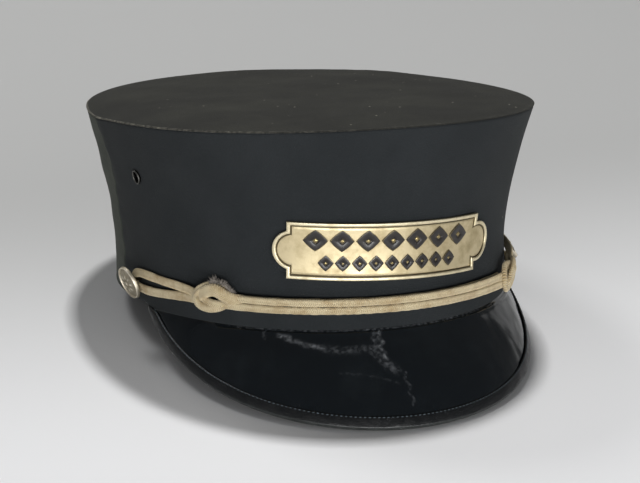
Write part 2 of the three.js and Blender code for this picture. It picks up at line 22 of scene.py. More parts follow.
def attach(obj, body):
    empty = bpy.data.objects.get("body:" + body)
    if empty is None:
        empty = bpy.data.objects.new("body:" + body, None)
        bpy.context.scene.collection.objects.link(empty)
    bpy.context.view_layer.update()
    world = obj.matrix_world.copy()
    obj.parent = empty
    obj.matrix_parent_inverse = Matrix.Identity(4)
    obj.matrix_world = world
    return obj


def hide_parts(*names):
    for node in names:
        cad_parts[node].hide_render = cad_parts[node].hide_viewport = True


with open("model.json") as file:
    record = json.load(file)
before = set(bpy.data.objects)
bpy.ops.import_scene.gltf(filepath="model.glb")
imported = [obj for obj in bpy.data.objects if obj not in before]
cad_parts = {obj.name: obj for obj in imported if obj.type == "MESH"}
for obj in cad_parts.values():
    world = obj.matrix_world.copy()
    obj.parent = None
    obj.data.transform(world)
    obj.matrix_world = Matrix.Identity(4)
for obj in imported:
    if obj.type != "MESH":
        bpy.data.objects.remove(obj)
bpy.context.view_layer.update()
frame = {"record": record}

log = logging.getLogger("porter_cap")
Array = np.ndarray

# The clearance between neighbouring pieces, in millimetres.
GAP = 0.3

# Where the side seams lie, in degrees to either side of the front.
SIDE_SEAM = 91.0

# Points of a mesh that lie closer than this, in metres, are one point.
WELD = 2e-6


class Slot(Enum):
    """The record's material slots."""

    TOP = "top_cloth"
    WALL = "wall_cloth"
    PATENT = "patent_leather"
    BINDING = "binding_leather"
    BADGE = "badge_brass"
    BUTTON = "button_brass"
    EYELET = "eyelet_metal"
    CORD = "chin_cord"


# Colour and node helpers


def linear(hex_colour: str) -> tuple[float, float, float, float]:
    """Turns an sRGB hex value into linear red, green, blue and an alpha of one.

    Args:
        hex_colour: Six hex digits.

    Returns:
        The linear colour.
    """
    channels = [int(hex_colour[i:i + 2], 16) / 255 for i in (0, 2, 4)]
    curve = [c / 12.92 if c <= 0.04045 else ((c + 0.055) / 1.055) ** 2.4 for c in channels]
    return (curve[0], curve[1], curve[2], 1.0)


def per_size(millimetres: float) -> float:
    """Gives the texture scale, on coordinates in metres, of a pattern of that size."""
    return 1000.0 / millimetres


def set_inputs(tree: bpy.types.NodeTree, node: bpy.types.Node, inputs: dict) -> None:
    """Sets a node's inputs.

    Args:
        tree: The node tree.
        node: The node.
        inputs: By socket name or number, a value, a socket, or a node for its main output, which is a mix's
            colour or else the first output.
    """
    for name, value in inputs.items():
        if isinstance(value, bpy.types.Node):
            value = value.outputs[2 if value.bl_idname == "ShaderNodeMix" else 0]
        if isinstance(value, bpy.types.NodeSocket):
            tree.links.new(value, node.inputs[name])
        else:
            node.inputs[name].default_value = value


def add_node(tree: bpy.types.NodeTree, kind: str, inputs: dict | None = None,
             settings: dict | None = None) -> bpy.types.Node:
    """Adds a node with its settings, values and links.

    Args:
        tree: The node tree.
        kind: The node's type name, after the word ShaderNode that each begins with.
        inputs: Its inputs, as set_inputs takes them.
        settings: Its properties.

    Returns:
        The new node.
    """
    node = tree.nodes.new("ShaderNode" + kind)
    for name, value in (settings or {}).items():
        setattr(node, name, value)
    set_inputs(tree, node, inputs or {})
    return node


def new_material(name: str) -> tuple[bpy.types.Material, bpy.types.NodeTree, bpy.types.Node]:
    """Makes an empty node material.

    Args:
        name: The material's name.

    Returns:
        The material, its node tree and its Principled shader.
    """
    material = bpy.data.materials.new(name)
    material.use_nodes = True
    tree = material.node_tree
    tree.nodes.clear()
    shader = add_node(tree, "BsdfPrincipled")
    add_node(tree, "OutputMaterial", {"Surface": shader})
    return material, tree, shader


# Finishes


@dataclass(frozen=True)
class Broadcloth:
    """Milled wool broadcloth: felted so that its weave hardly shows, with a short brushed nap.

    The nap gives the eye a soft, almost lightless surface that pales at grazing angles. Dust and lint lie on
    it, and its edges are worn to the paler yarn.
    """

    name: str
    colour: str
    dusty: str
    worn: str
    lint_colour: str = "b9b5a6"
    nap_colour: str = "c8c6bd"
    nap_mm: float = 0.9
    yarn_mm: float = 0.75
    blotch_mm: float = 34.0
    fray_mm: float = 1.7
    lint_mm: float = 5.5
    lint: float = 0.5
    sheen: float = 0.25

    def make(self) -> bpy.types.Material:
        """Builds the node material."""
        material, tree, shader = new_material(self.name)
        place = add_node(tree, "TexCoord")
        here = place.outputs["Object"]
        blotch = add_node(tree, "TexNoise", {"Vector": here, "Scale": per_size(self.blotch_mm),
                                             "Detail": 5.0, "Roughness": 0.6})
        nap = add_node(tree, "TexNoise", {"Vector": here, "Scale": per_size(self.nap_mm), "Detail": 4.0,
                                          "Roughness": 0.7})
        dust = add_node(tree, "MapRange", {"Value": blotch, "From Min": 0.42, "From Max": 0.74,
                                           "To Min": 0.0, "To Max": 0.55})
        grain = add_node(tree, "MapRange", {"Value": nap, "From Min": 0.25, "From Max": 0.8, "To Min": -0.12,
                                            "To Max": 0.34})
        mixed = add_node(tree, "Math", {0: dust, 1: grain}, {"operation": "ADD", "use_clamp": True})
        ground = add_node(tree, "Mix", {0: mixed, 6: linear(self.colour), 7: linear(self.dusty)},
                          {"data_type": "RGBA"})
        wear = add_node(tree, "Attribute", settings={"attribute_name": "wear"})
        frayed = add_node(tree, "TexNoise", {"Vector": here, "Scale": per_size(self.fray_mm), "Detail": 3.0})
        ragged = add_node(tree, "Math", {0: frayed, 1: 2.6, 2: -1.55}, {"operation": "MULTIPLY_ADD"})
        rubbed = add_node(tree, "Math", {0: ragged, 1: wear.outputs["Fac"]},
                          {"operation": "ADD", "use_clamp": True})
        shown = add_node(tree, "Math", {0: rubbed, 1: wear.outputs["Fac"]},
                         {"operation": "MULTIPLY", "use_clamp": True})
        edged = add_node(tree, "Mix", {0: shown, 6: ground, 7: linear(self.worn)}, {"data_type": "RGBA"})
        specks = add_node(tree, "TexVoronoi", {"Vector": here, "Scale": per_size(self.lint_mm)})
        small = add_node(tree, "MapRange", {"Value": specks, "From Min": 0.035, "From Max": 0.09,
                                            "To Min": 1.0, "To Max": 0.0})
        chosen = add_node(tree, "SeparateColor", {0: specks.outputs["Color"]})
        few = add_node(tree, "Math", {0: chosen, 1: 1.0 - 0.28 * self.lint}, {"operation": "GREATER_THAN"})
        lint = add_node(tree, "Math", {0: small, 1: few}, {"operation": "MULTIPLY"})
        linted = add_node(tree, "Mix", {0: lint, 6: edged, 7: linear(self.lint_colour)},
                          {"data_type": "RGBA"})
        weave = add_node(tree, "TexVoronoi", {"Vector": here, "Scale": per_size(self.yarn_mm)})
        height = add_node(tree, "Math", {0: weave, 1: 0.6, 2: nap}, {"operation": "MULTIPLY_ADD"})
        bump = add_node(tree, "Bump", {"Height": height, "Strength": 0.55, "Distance": 0.00035})
        set_inputs(tree, shader, {"Base Color": linted, "Roughness": 0.92, "Specular IOR Level": 0.12,
                                  "Sheen Weight": self.sheen, "Sheen Roughness": 0.5,
                                  "Sheen Tint": linear(self.nap_colour), "Normal": bump})
        return material


@dataclass(frozen=True)
class PatentLeather:
    """Lacquered leather: many coats of black varnish over smooth hide, now wavy, abraded and cracked.

    The varnish gives sharp reflections that wander with the hide below. The attribute wear marks pale streaks,
    painted grey and made dull: some are abrasions and cracks, others are painted reflections of the lights on
    the wavy lacquer, and a line beside the wall is a painted highlight at the visor's bend.
    """

    name: str = "black patent leather"
    colour: str = "0b1014"
    dulled: str = "171c1f"
    # The grey of the pale streaks: abrasions, painted reflections and a painted highlight.
    scuff_and_glint_grey: str = "83868a"
    break_mm: float = 1.6
    dull_mm: float = 26.0
    wave_mm: float = 21.0

    def make(self) -> bpy.types.Material:
        """Builds the node material."""
        material, tree, shader = new_material(self.name)
        place = add_node(tree, "TexCoord")
        here = place.outputs["Object"]
        region = add_node(tree, "Attribute", settings={"attribute_name": "wear"})
        breaks = add_node(tree, "TexNoise", {"Vector": here, "Scale": per_size(self.break_mm),
                                             "Detail": 4.0})
        broken = add_node(tree, "MapRange", {"Value": breaks, "From Min": 0.42, "From Max": 0.66,
                                             "To Min": 0.12, "To Max": 1.0})
        # Pale streaks: abrasions and cracks, and painted reflections and a painted highlight of the lights.
        streak = add_node(tree, "Math", {0: broken, 1: region.outputs["Fac"]},
                         {"operation": "MULTIPLY", "use_clamp": True})
        handling = add_node(tree, "TexNoise", {"Vector": here, "Scale": per_size(self.dull_mm),
                                               "Detail": 9.0, "Roughness": 0.75})
        handled = add_node(tree, "MapRange", {"Value": handling, "From Min": 0.5, "From Max": 0.78,
                                              "To Min": 0.0, "To Max": 1.0})
        grey = add_node(tree, "Mix", {0: handled, 6: linear(self.colour), 7: linear(self.dulled)},
                        {"data_type": "RGBA"})
        skin = add_node(tree, "Mix", {0: streak, 6: grey, 7: linear(self.scuff_and_glint_grey)}, {"data_type": "RGBA"})
        dull = add_node(tree, "MapRange", {"Value": handling, "From Min": 0.3, "From Max": 0.85,
                                           "To Min": 0.08, "To Max": 0.22})
        rough = add_node(tree, "Math", {0: streak, 1: 0.4, 2: dull}, {"operation": "MULTIPLY_ADD"})
        wave = add_node(tree, "TexNoise", {"Vector": here, "Scale": per_size(self.wave_mm), "Detail": 3.0,
                                           "Roughness": 0.45})
        cut = add_node(tree, "Math", {0: streak, 1: -0.03, 2: wave}, {"operation": "MULTIPLY_ADD"})
        bump = add_node(tree, "Bump", {"Height": cut, "Strength": 0.4, "Distance": 0.0016})
        set_inputs(tree, shader, {"Base Color": skin, "Roughness": rough, "IOR": 1.5, "Normal": bump})
        return material


@dataclass(frozen=True)
class EdgeBinding:
    """A folded strip of thin dull leathercloth: grained, and painted paler in patches along its fold, a painted
    highlight of the edge with some rubbing.
    """

    name: str = "dull leathercloth binding"
    colour: str = "0c0e10"
    # The paler colour of the fold: a painted highlight of the edge, with some rubbing.
    rubbed: str = "4c504e"
    grain_mm: float = 0.8
    rub_mm: float = 3.0

    def make(self) -> bpy.types.Material:
        """Builds the node material."""
        material, tree, shader = new_material(self.name)
        place = add_node(tree, "TexCoord")
        grain = add_node(tree, "TexVoronoi", {"Vector": place.outputs["Object"],
                                              "Scale": per_size(self.grain_mm)})
        noise = add_node(tree, "TexNoise", {"Vector": place.outputs["Object"], "Scale": per_size(self.rub_mm),
                                            "Detail": 6.0})
        wear = add_node(tree, "Attribute", settings={"attribute_name": "wear"})
        # The fold is painted paler in patches: a painted highlight along the edge, with some rubbing.
        amount = add_node(tree, "Math", {0: wear.outputs["Fac"], 1: noise},
                          {"operation": "MULTIPLY", "use_clamp": True})
        skin = add_node(tree, "Mix", {0: amount, 6: linear(self.colour), 7: linear(self.rubbed)},
                        {"data_type": "RGBA"})
        rough = add_node(tree, "MapRange", {"Value": noise, "From Min": 0.3, "From Max": 0.7, "To Min": 0.3,
                                            "To Max": 0.5})
        bump = add_node(tree, "Bump", {"Height": grain, "Strength": 0.35, "Distance": 0.0002})
        set_inputs(tree, shader, {"Base Color": skin, "Roughness": rough, "Normal": bump})
        return material


@dataclass(frozen=True)
class StampedBrass:
    """Stamped brass sheet with old lacquer: satin, finely scratched, darkened where hands don't reach.

    The attribute wear is one on raised, rubbed metal and nothing in the recesses.
    """

    name: str
    bright: str
    satin: str
    tarnish: str
    grime: str = "2a241b"
    roughness: float = 0.34
    dark_mm: float = 9.0
    scratch_mm: float = 0.9

    def make(self) -> bpy.types.Material:
        """Builds the node material."""
        material, tree, shader = new_material(self.name)
        place = add_node(tree, "TexCoord")
        here = place.outputs["Object"]
        wear = add_node(tree, "Attribute", settings={"attribute_name": "wear"})
        spots = add_node(tree, "TexNoise", {"Vector": here, "Scale": per_size(self.dark_mm), "Detail": 8.0,
                                            "Roughness": 0.65})
        dark = add_node(tree, "MapRange", {"Value": spots, "From Min": 0.46, "From Max": 0.8, "To Min": 0.0,
                                           "To Max": 0.85})
        metal = add_node(tree, "Mix", {0: wear.outputs["Fac"], 6: linear(self.satin),
                                       7: linear(self.bright)}, {"data_type": "RGBA"})
        aged = add_node(tree, "Mix", {0: dark, 6: metal, 7: linear(self.tarnish)}, {"data_type": "RGBA"})
        pit = add_node(tree, "Attribute", settings={"attribute_name": "recess"})
        sunk = add_node(tree, "Mix", {0: pit.outputs["Fac"], 6: aged, 7: linear(self.grime)},
                        {"data_type": "RGBA"})
        rough = add_node(tree, "MapRange", {"Value": spots, "From Min": 0.3, "From Max": 0.75,
                                            "To Min": self.roughness - 0.06, "To Max": self.roughness + 0.2})
        scratch = add_node(tree, "TexNoise", {"Vector": here, "Scale": per_size(self.scratch_mm),
                                              "Detail": 6.0})
        bump = add_node(tree, "Bump", {"Height": scratch, "Strength": 0.3, "Distance": 0.00012})
        set_inputs(tree, shader, {"Base Color": sunk, "Metallic": 1.0, "Roughness": rough, "Normal": bump})
        return material


@dataclass(frozen=True)
class DarkEnamel:
    """Fired black enamel in stamped relief: smooth and slightly domed, chipped to the brass at its edges."""

    name: str = "black stove enamel"
    colour: str = "211d1b"
    chipped: str = "a8976a"
    roughness: float = 0.3
    chip_mm: float = 2.2

    def make(self) -> bpy.types.Material:
        """Builds the node material."""
        material, tree, shader = new_material(self.name)
        place = add_node(tree, "TexCoord")
        noise = add_node(tree, "TexNoise", {"Vector": place.outputs["Object"],
                                            "Scale": per_size(self.chip_mm), "Detail": 5.0})
        wear = add_node(tree, "Attribute", settings={"attribute_name": "wear"})
        chip = add_node(tree, "Math", {0: noise, 1: 2.4, 2: -1.35}, {"operation": "MULTIPLY_ADD"})
        edge = add_node(tree, "Math", {0: chip, 1: wear.outputs["Fac"]},
                        {"operation": "ADD", "use_clamp": True})
        amount = add_node(tree, "Math", {0: edge, 1: wear.outputs["Fac"]},
                          {"operation": "MULTIPLY", "use_clamp": True})
        skin = add_node(tree, "Mix", {0: amount, 6: linear(self.colour), 7: linear(self.chipped)},
                        {"data_type": "RGBA"})
        bump = add_node(tree, "Bump", {"Height": noise, "Strength": 0.2, "Distance": 0.0002})
        set_inputs(tree, shader, {"Base Color": skin, "Metallic": amount, "Roughness": self.roughness,
                                  "Normal": bump})
        return material


@dataclass(frozen=True)
class BraidedCord:
    """Flat cotton braid of two cores: fine slanted threads that meet in a chevron, cream and stained.

    The piece's UV map runs in millimetres, along the cord and across it from the middle groove.
    """

    name: str = "cream cotton braid"
    colour: str = "c8b68e"
    pale: str = "e2d6b8"
    stain: str = "9b7d4f"
    stain_mm: float = 7.5
    fuzz_mm: float = 0.5
    pitch_mm: float = 0.85
    slant: float = 0.55

    def make(self) -> bpy.types.Material:
        """Builds the node material."""
        material, tree, shader = new_material(self.name)
        place = add_node(tree, "TexCoord")
        parts = add_node(tree, "SeparateXYZ", {0: place.outputs["UV"]})
        side = add_node(tree, "Math", {0: parts.outputs["Y"]}, {"operation": "ABSOLUTE"})
        slant = add_node(tree, "Math", {0: side, 1: self.slant, 2: parts.outputs["X"]},
                         {"operation": "MULTIPLY_ADD"})
        turn = add_node(tree, "Math", {0: slant, 1: 2 * math.pi / self.pitch_mm}, {"operation": "MULTIPLY"})
        thread = add_node(tree, "Math", {0: turn}, {"operation": "SINE"})
        fuzz = add_node(tree, "TexNoise", {"Vector": place.outputs["Object"], "Scale": per_size(self.fuzz_mm),
                                           "Detail": 4.0})
        blotch = add_node(tree, "TexNoise", {"Vector": place.outputs["Object"],
                                             "Scale": per_size(self.stain_mm), "Detail": 6.0,
                                             "Roughness": 0.7})
        soiled = add_node(tree, "MapRange", {"Value": blotch, "From Min": 0.44, "From Max": 0.74,
                                             "To Min": 0.0, "To Max": 0.8})
        # Painted highlight: the threads' crests are painted paler than their sides.
        lit = add_node(tree, "MapRange", {"Value": thread, "From Min": -0.9, "From Max": 1.0, "To Min": 0.0,
                                          "To Max": 0.62})
        ground = add_node(tree, "Mix", {0: lit, 6: linear(self.colour), 7: linear(self.pale)},
                          {"data_type": "RGBA"})
        aged = add_node(tree, "Mix", {0: soiled, 6: ground, 7: linear(self.stain)}, {"data_type": "RGBA"})
        height = add_node(tree, "Math", {0: thread, 1: 0.7, 2: fuzz}, {"operation": "MULTIPLY_ADD"})
        bump = add_node(tree, "Bump", {"Height": height, "Strength": 0.7, "Distance": 0.00028})
        set_inputs(tree, shader, {"Base Color": aged, "Roughness": 0.82, "Specular IOR Level": 0.3,
                                  "Sheen Weight": 0.2, "Normal": bump})
        return material


@dataclass(frozen=True)
class PlainThread:
    """Waxed linen thread or loose fibre, matte, in one worn colour."""

    name: str
    colour: str
    roughness: float = 0.8
    tone_mm: float = 2.6

    def make(self) -> bpy.types.Material:
        """Builds the node material."""
        material, tree, shader = new_material(self.name)
        place = add_node(tree, "TexCoord")
        noise = add_node(tree, "TexNoise", {"Vector": place.outputs["Object"],
                                            "Scale": per_size(self.tone_mm), "Detail": 4.0})
        tone = add_node(tree, "MapRange", {"Value": noise, "From Min": 0.3, "From Max": 0.7, "To Min": 0.55,
                                           "To Max": 1.35})
        colour = add_node(tree, "Mix", {0: 1.0, 6: linear(self.colour), 7: tone},
                          {"data_type": "RGBA", "blend_type": "MULTIPLY"})
        set_inputs(tree, shader, {"Base Color": colour, "Roughness": self.roughness,
                                  "Specular IOR Level": 0.25})
        return material


@dataclass(frozen=True)
class StudioPaper:
    """A seamless sheet of matte paper under the cap, graded from pale in front to grey behind: a painted
    falloff of the light towards the back.
    """

    name: str = "matte graded studio paper"
    front: str = "e4e4e5"
    back: str = "a8a8a7"
    front_y: float = -0.17
    back_y: float = 0.2

    def make(self) -> bpy.types.Material:
        """Builds the node material."""
        material, tree, shader = new_material(self.name)
        place = add_node(tree, "TexCoord")
        parts = add_node(tree, "SeparateXYZ", {0: place.outputs["Object"]})
        # Painted shade: the colour falls from pale to grey towards the back, as the light's falloff would.
        depth = add_node(tree, "MapRange", {"Value": parts.outputs["Y"], "From Min": self.front_y,
                                            "From Max": self.back_y}, {"interpolation_type": "SMOOTHSTEP"})
        tone = add_node(tree, "Mix", {0: depth, 6: linear(self.front), 7: linear(self.back)},
                        {"data_type": "RGBA"})
        set_inputs(tree, shader, {"Base Color": tone, "Roughness": 0.9, "Specular IOR Level": 0.15})
        return material


# Meshes from arrays


class MeshParts:
    """Gathers grids of points into one closed mesh with a UV map and point attributes."""

    def __init__(self) -> None:
        """Starts empty."""
        self.points: list[Array] = []
        self.faces: list[Array] = []
        self.uvs: list[Array] = []
        self.attributes: dict[str, list[Array]] = {"wear": [], "recess": []}
        self.count = 0

    def grid(self, points: Array, wrap_rows: bool = False, wrap_columns: bool = False,
             uv: Array | None = None, wear: Array | float = 0.0, recess: Array | float = 0.0) -> "MeshParts":
        """Adds a grid of quads. Face (i, j) joins points (i, j), (i+1, j), (i+1, j+1) and (i, j+1).

        Args:
            points: Rows by columns by three, in millimetres.
            wrap_rows: Whether the last row joins the first.
            wrap_columns: Whether the last column joins the first.
            uv: Rows by columns by two, with one row or column more where the grid wraps.
            wear: Rows by columns, or one number, from 0 to 1.
            recess: The same, for how deep in shadow and dirt a point lies.

        Returns:
            Itself.
        """
        rows, columns = points.shape[:2]
        face_rows = rows if wrap_rows else rows - 1
        face_columns = columns if wrap_columns else columns - 1
        i, j = np.meshgrid(np.arange(face_rows), np.arange(face_columns), indexing="ij")
        corners = [(i, j), (i + 1, j), (i + 1, j + 1), (i, j + 1)]
        ids = [(a % rows) * columns + (b % columns) for a, b in corners]
        self.faces.append(np.stack(ids, -1).reshape(-1, 4) + self.count)
        if uv is None:
            uv = np.zeros((face_rows + 1, face_columns + 1, 2))
        self.uvs.append(np.stack([uv[a, b] for a, b in corners], -2).reshape(-1, 4, 2))
        self.points.append(points.reshape(-1, 3))
        for name, value in (("wear", wear), ("recess", recess)):
            self.attributes[name].append(np.broadcast_to(value, (rows, columns)).reshape(-1))
        self.count += rows * columns
        return self

    def build(self, name: str, placement: "Placement", sharp: float | None = None) -> bpy.types.Object:
        """Makes the Blender object, welded, with its faces pointing out.

        Args:
            name: The object's name.
            placement: Where the level cap rests.
            sharp: The angle in degrees past which an edge stays sharp, or None for all smooth.

        Returns:
            The object, at the origin, in metres.
        """
        points = placement.to_row(np.concatenate(self.points))
        faces = np.concatenate(self.faces)
        mesh = bpy.data.meshes.new(name)
        mesh.vertices.add(len(points))
        mesh.vertices.foreach_set("co", points.astype(np.float32).ravel())
        mesh.loops.add(faces.size)
        mesh.loops.foreach_set("vertex_index", faces.astype(np.int32).ravel())
        mesh.polygons.add(len(faces))
        mesh.polygons.foreach_set("loop_start", np.arange(0, faces.size, 4, dtype=np.int32))
        mesh.update(calc_edges=True)
        layer = mesh.uv_layers.new(name="uv")
        layer.data.foreach_set("uv", np.concatenate(self.uvs).astype(np.float32).ravel())
        for key, arrays in self.attributes.items():
            values = np.concatenate(arrays).astype(np.float32)
            mesh.attributes.new(key, "FLOAT", "POINT").data.foreach_set("value", values)
        shape = bmesh.new()
        shape.from_mesh(mesh)
        bmesh.ops.remove_doubles(shape, verts=shape.verts, dist=WELD)
        bmesh.ops.dissolve_degenerate(shape, edges=shape.edges, dist=1e-7)
        bmesh.ops.recalc_face_normals(shape, faces=shape.faces)
        shape.to_mesh(mesh)
        shape.free()
        mesh.polygons.foreach_set("use_smooth", np.ones(len(mesh.polygons), dtype=bool))
        if sharp is not None:
            mesh.set_sharp_from_angle(angle=math.radians(sharp))
        mesh.update()
        piece = bpy.data.objects.new(name, mesh)
        bpy.context.scene.collection.objects.link(piece)
        return piece


def dress(piece: bpy.types.Object, finish: bpy.types.Material, nodes: Sequence[str] = ()) -> None:
    """Gives a piece its material, its body and the nodes that it stands for.

    Args:
        piece: The Blender object.
        finish: Its material.
        nodes: The CAD nodes that it replaces.
    """
    piece.data.materials.append(finish)
    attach(piece, "root")
    if nodes:
        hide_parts(*nodes)
    log.info("%s: %d faces", piece.name, len(piece.data.polygons))


def shell(outer: Array, inner: Array, wrap: bool = False, uv: Array | None = None, wear: Array | float = 0.0,
          recess: Array | float = 0.0) -> MeshParts:
    """Closes two facing grids into a wall: both faces and the strips that join their open borders.

    Args:
        outer: The outer face, rows by columns by three.
        inner: The inner face, of the same shape.
        wrap: Whether the rows go right round.
        uv: The UV map of both faces.
        wear: The wear of the outer face.
        recess: The recess of the outer face.

    Returns:
        The closed parts.
    """
    parts = MeshParts()
    parts.grid(outer, wrap_rows=wrap, uv=uv, wear=wear, recess=recess)
    parts.grid(inner, wrap_rows=wrap, uv=uv)
    for column in (0, -1):
        strip = np.stack([outer[:, column], inner[:, column]], 1)
        edge = np.broadcast_to(wear, outer.shape[:2])[:, column]
        parts.grid(strip, wrap_rows=wrap, wear=np.stack([edge, 0 * edge], 1))
    if not wrap:
        for row in (0, -1):
            parts.grid(np.stack([outer[row], inner[row]], 0))
    return parts


def waves(points: Array, length: float, seed: int, count: int = 9) -> Array:
    """A smooth random field between about -1 and 1: a sum of sines in random directions.

    Args:
        points: Points in millimetres, with three as the last size.
        length: The typical wavelength.
        seed: The seed of the directions and phases.
        count: How many sines are summed.

    Returns:
        One value for each point.
    """
    rng = np.random.default_rng(seed)
    directions = rng.normal(size=(count, 3))
    directions /= np.linalg.norm(directions, axis=1, keepdims=True)
    scales = 2 * np.pi / (length * rng.uniform(0.6, 1.7, count))
    phases = rng.uniform(0, 2 * np.pi, count)
    return np.sin(points @ (directions * scales[:, None]).T + phases).mean(-1) * 2.0


def smooth_path(points: Array, count: int, closed: bool = False) -> Array:
    """A Catmull-Rom curve through points, sampled evenly in its parameter.

    Args:
        points: Points as rows, of any width.
        count: The number of samples.
        closed: Whether the last point joins the first.

    Returns:
        The samples as rows.
    """
    points = np.asarray(points, float)
    if closed:
        padded = np.vstack([points[-1:], points, points[:2]])
        spans = len(points)
    else:
        padded = np.vstack([2 * points[:1] - points[1:2], points, 2 * points[-1:] - points[-2:-1]])
        spans = len(points) - 1
    s = np.linspace(0, spans, count, endpoint=not closed)
    k = np.minimum(s.astype(int), spans - 1)
    t = (s - k)[:, None]
    a, b, c, d = (padded[k + n] for n in range(4))
    bend = (2 * a - 5 * b + 4 * c - d) * t ** 2
    twist = (3 * b - a - 3 * c + d) * t ** 3
    return 0.5 * (2 * b + (c - a) * t + bend + twist)


def unit(vectors: Array) -> Array:
    """Scales vectors to length one."""
    return vectors / np.linalg.norm(vectors, axis=-1, keepdims=True)


def bell(value: Array, middle: float, reach: float) -> Array:
    """A bell curve: one at the middle, and one over e at the reach to either side of it."""
    return np.exp(-((value - middle) / reach) ** 2)


def turn_from(angle: Array, middle: float) -> Array:
    """The turn from a middle angle, in degrees between -180 and 180."""
    return (angle - middle + 180) % 360 - 180


def tube(centre: Array, radius: Array, first: Array, second: Array, sides: int) -> Array:
    """Rings round lines: the centre plus the radius, by a turn's cosine one way and by its sine another.

    Args:
        centre: Points along the lines.
        radius: The radius at each point.
        first: Directions across the lines.
        second: Directions across them, square to the first.
        sides: How many points a ring has.

    Returns:
        Points, with the rings as the last size but one.
    """
    turn = np.arange(sides) * 2 * np.pi / sides
    ring = np.cos(turn)[:, None] * first[..., None, :] + np.sin(turn)[:, None] * second[..., None, :]
    return centre[..., None, :] + radius[..., None, None] * ring


# The cap's own shape


@dataclass(frozen=True)
class Dent:
    """A shallow push in the wall: its place, depth inwards, and reach along and up."""

    angle: float
    height: float
    depth: float
    reach: float
    rise: float


@dataclass(frozen=True)
class HeadOval:
    """The oval that the cap is built on, and the flaring wall above it, level, in millimetres."""

    half_width: float = 84.0
    half_length: float = 101.0
    height: float = 78.5
    fall_back: float = -0.032
    fall_left: float = -0.006
    saddle_rise: float = 1.0
    sunk_angle: float = -93.0
    sunk_depth: float = 1.2
    sunk_reach: float = 11.0
    flare_mean: float = 10.7
    flare_front: float = 3.5
    flare_side: float = -0.7
    flare_corner: float = -0.95
    flare_left: float = -0.65
    flare_length: float = 60.0
    flare_power: float = 1.62
    dents: tuple[Dent, ...] = (
        Dent(-93, 58, 1.3, 4.5, 14), Dent(-88, 66, -0.7, 3.0, 12), Dent(-97, 30, -0.6, 5.0, 12),
        Dent(-108, 64, -0.7, 16, 13), Dent(93, 52, 1.0, 4.5, 15), Dent(-50, 48, 0.7, 15, 18),
        Dent(42, 58, 0.6, 13, 16), Dent(150, 40, 1.4, 18, 20), Dent(-155, 46, 1.0, 16, 22),
    )

    def outward(self, angle: Array) -> Array:
        """The level outward normal of the oval."""
        t = np.radians(angle)
        return unit(np.stack([np.sin(t) / self.half_width, -np.cos(t) / self.half_length, 0 * t], -1))

    def spread(self, angle: Array) -> Array:
        """The flare of the top seam: a mean plus cosine and sine terms of the angle."""
        t = np.radians(angle)
        return (self.flare_mean + self.flare_front * np.cos(t) + self.flare_side * np.cos(2 * t)
                + self.flare_corner * np.cos(4 * t) + self.flare_left * np.sin(t))

    def plan(self, angle: Array, share: Array) -> tuple[Array, Array]:
        """The place in plan at a share of the way from the middle of the top to its seam."""
        t = np.radians(angle)
        flare = self.spread(angle)
        x = (self.half_width + flare) * share * np.sin(t)
        return x, -(self.half_length + flare) * share * np.cos(t)

    def plane_height(self, x: Array, y: Array) -> Array:
        """The height of the sloping plane of the top."""
        return self.height + self.fall_back * y + self.fall_left * x

    def seam_rise(self, angle: Array) -> Array:
        """How far the seam stands over its plane: a saddle, less a bell where the side seam has sunk."""
        sunk = self.sunk_depth * bell(turn_from(angle, self.sunk_angle), 0, self.sunk_reach)
        return self.saddle_rise * np.cos(2 * np.radians(angle)) - sunk

    def rim_height(self, angle: Array) -> Array:
        """The height of the top seam."""
        return self.plane_height(*self.plan(angle, 1.0)) + self.seam_rise(angle)

    def dent(self, angle: Array, height: Array) -> Array:
        """The depth of the dents: a sum of bell curves in angle and height."""
        depth = 0.0 * (angle + height)
        for row in self.dents:
            along = bell(turn_from(angle, row.angle), 0, row.reach)
            depth = depth + row.depth * along * bell(height, row.height, row.rise)
        return depth

    def wall(self, angle: Array, height: Array, out: Array | float = 0.0) -> Array:
        """Points on the wall, moved outwards.

        The wall stands out of the oval by the spread times (1 - depth / flare length) to the flare power,
        where depth is measured down from the top seam.

        Args:
            angle: Angles in degrees.
            height: Heights in millimetres.
            out: Distances outwards.

        Returns:
            Points with three as the last size.
        """
        angle, height = np.broadcast_arrays(np.asarray(angle, float), np.asarray(height, float))
        t = np.radians(angle)
        below = np.clip(1 - (self.rim_height(angle) - height) / self.flare_length, 0, 1)
        flare = self.spread(angle) * below ** self.flare_power
        x, y = (self.half_width + flare) * np.sin(t), -(self.half_length + flare) * np.cos(t)
        off = (out - self.dent(angle, height))[..., None]
        return np.stack([x, y, height], -1) + self.outward(angle) * off

    def directions(self, angle: Array, height: Array) -> tuple[Array, Array, Array]:
        """The wall's own directions at a place: along it, up it and straight out."""
        step = 0.5
        along = unit(self.wall(angle + step, height) - self.wall(angle - step, height))
        up = unit(self.wall(angle, height + step) - self.wall(angle, height - step))
        out = unit(np.cross(along, up))
        return along, np.cross(out, along), out

    def per_degree(self, angle: float) -> float:
        """Millimetres along the wall for one degree."""
        ends = self.wall(np.array([angle + 0.5, angle - 0.5]), np.zeros(2))
        return float(np.linalg.norm(ends[0] - ends[1]))


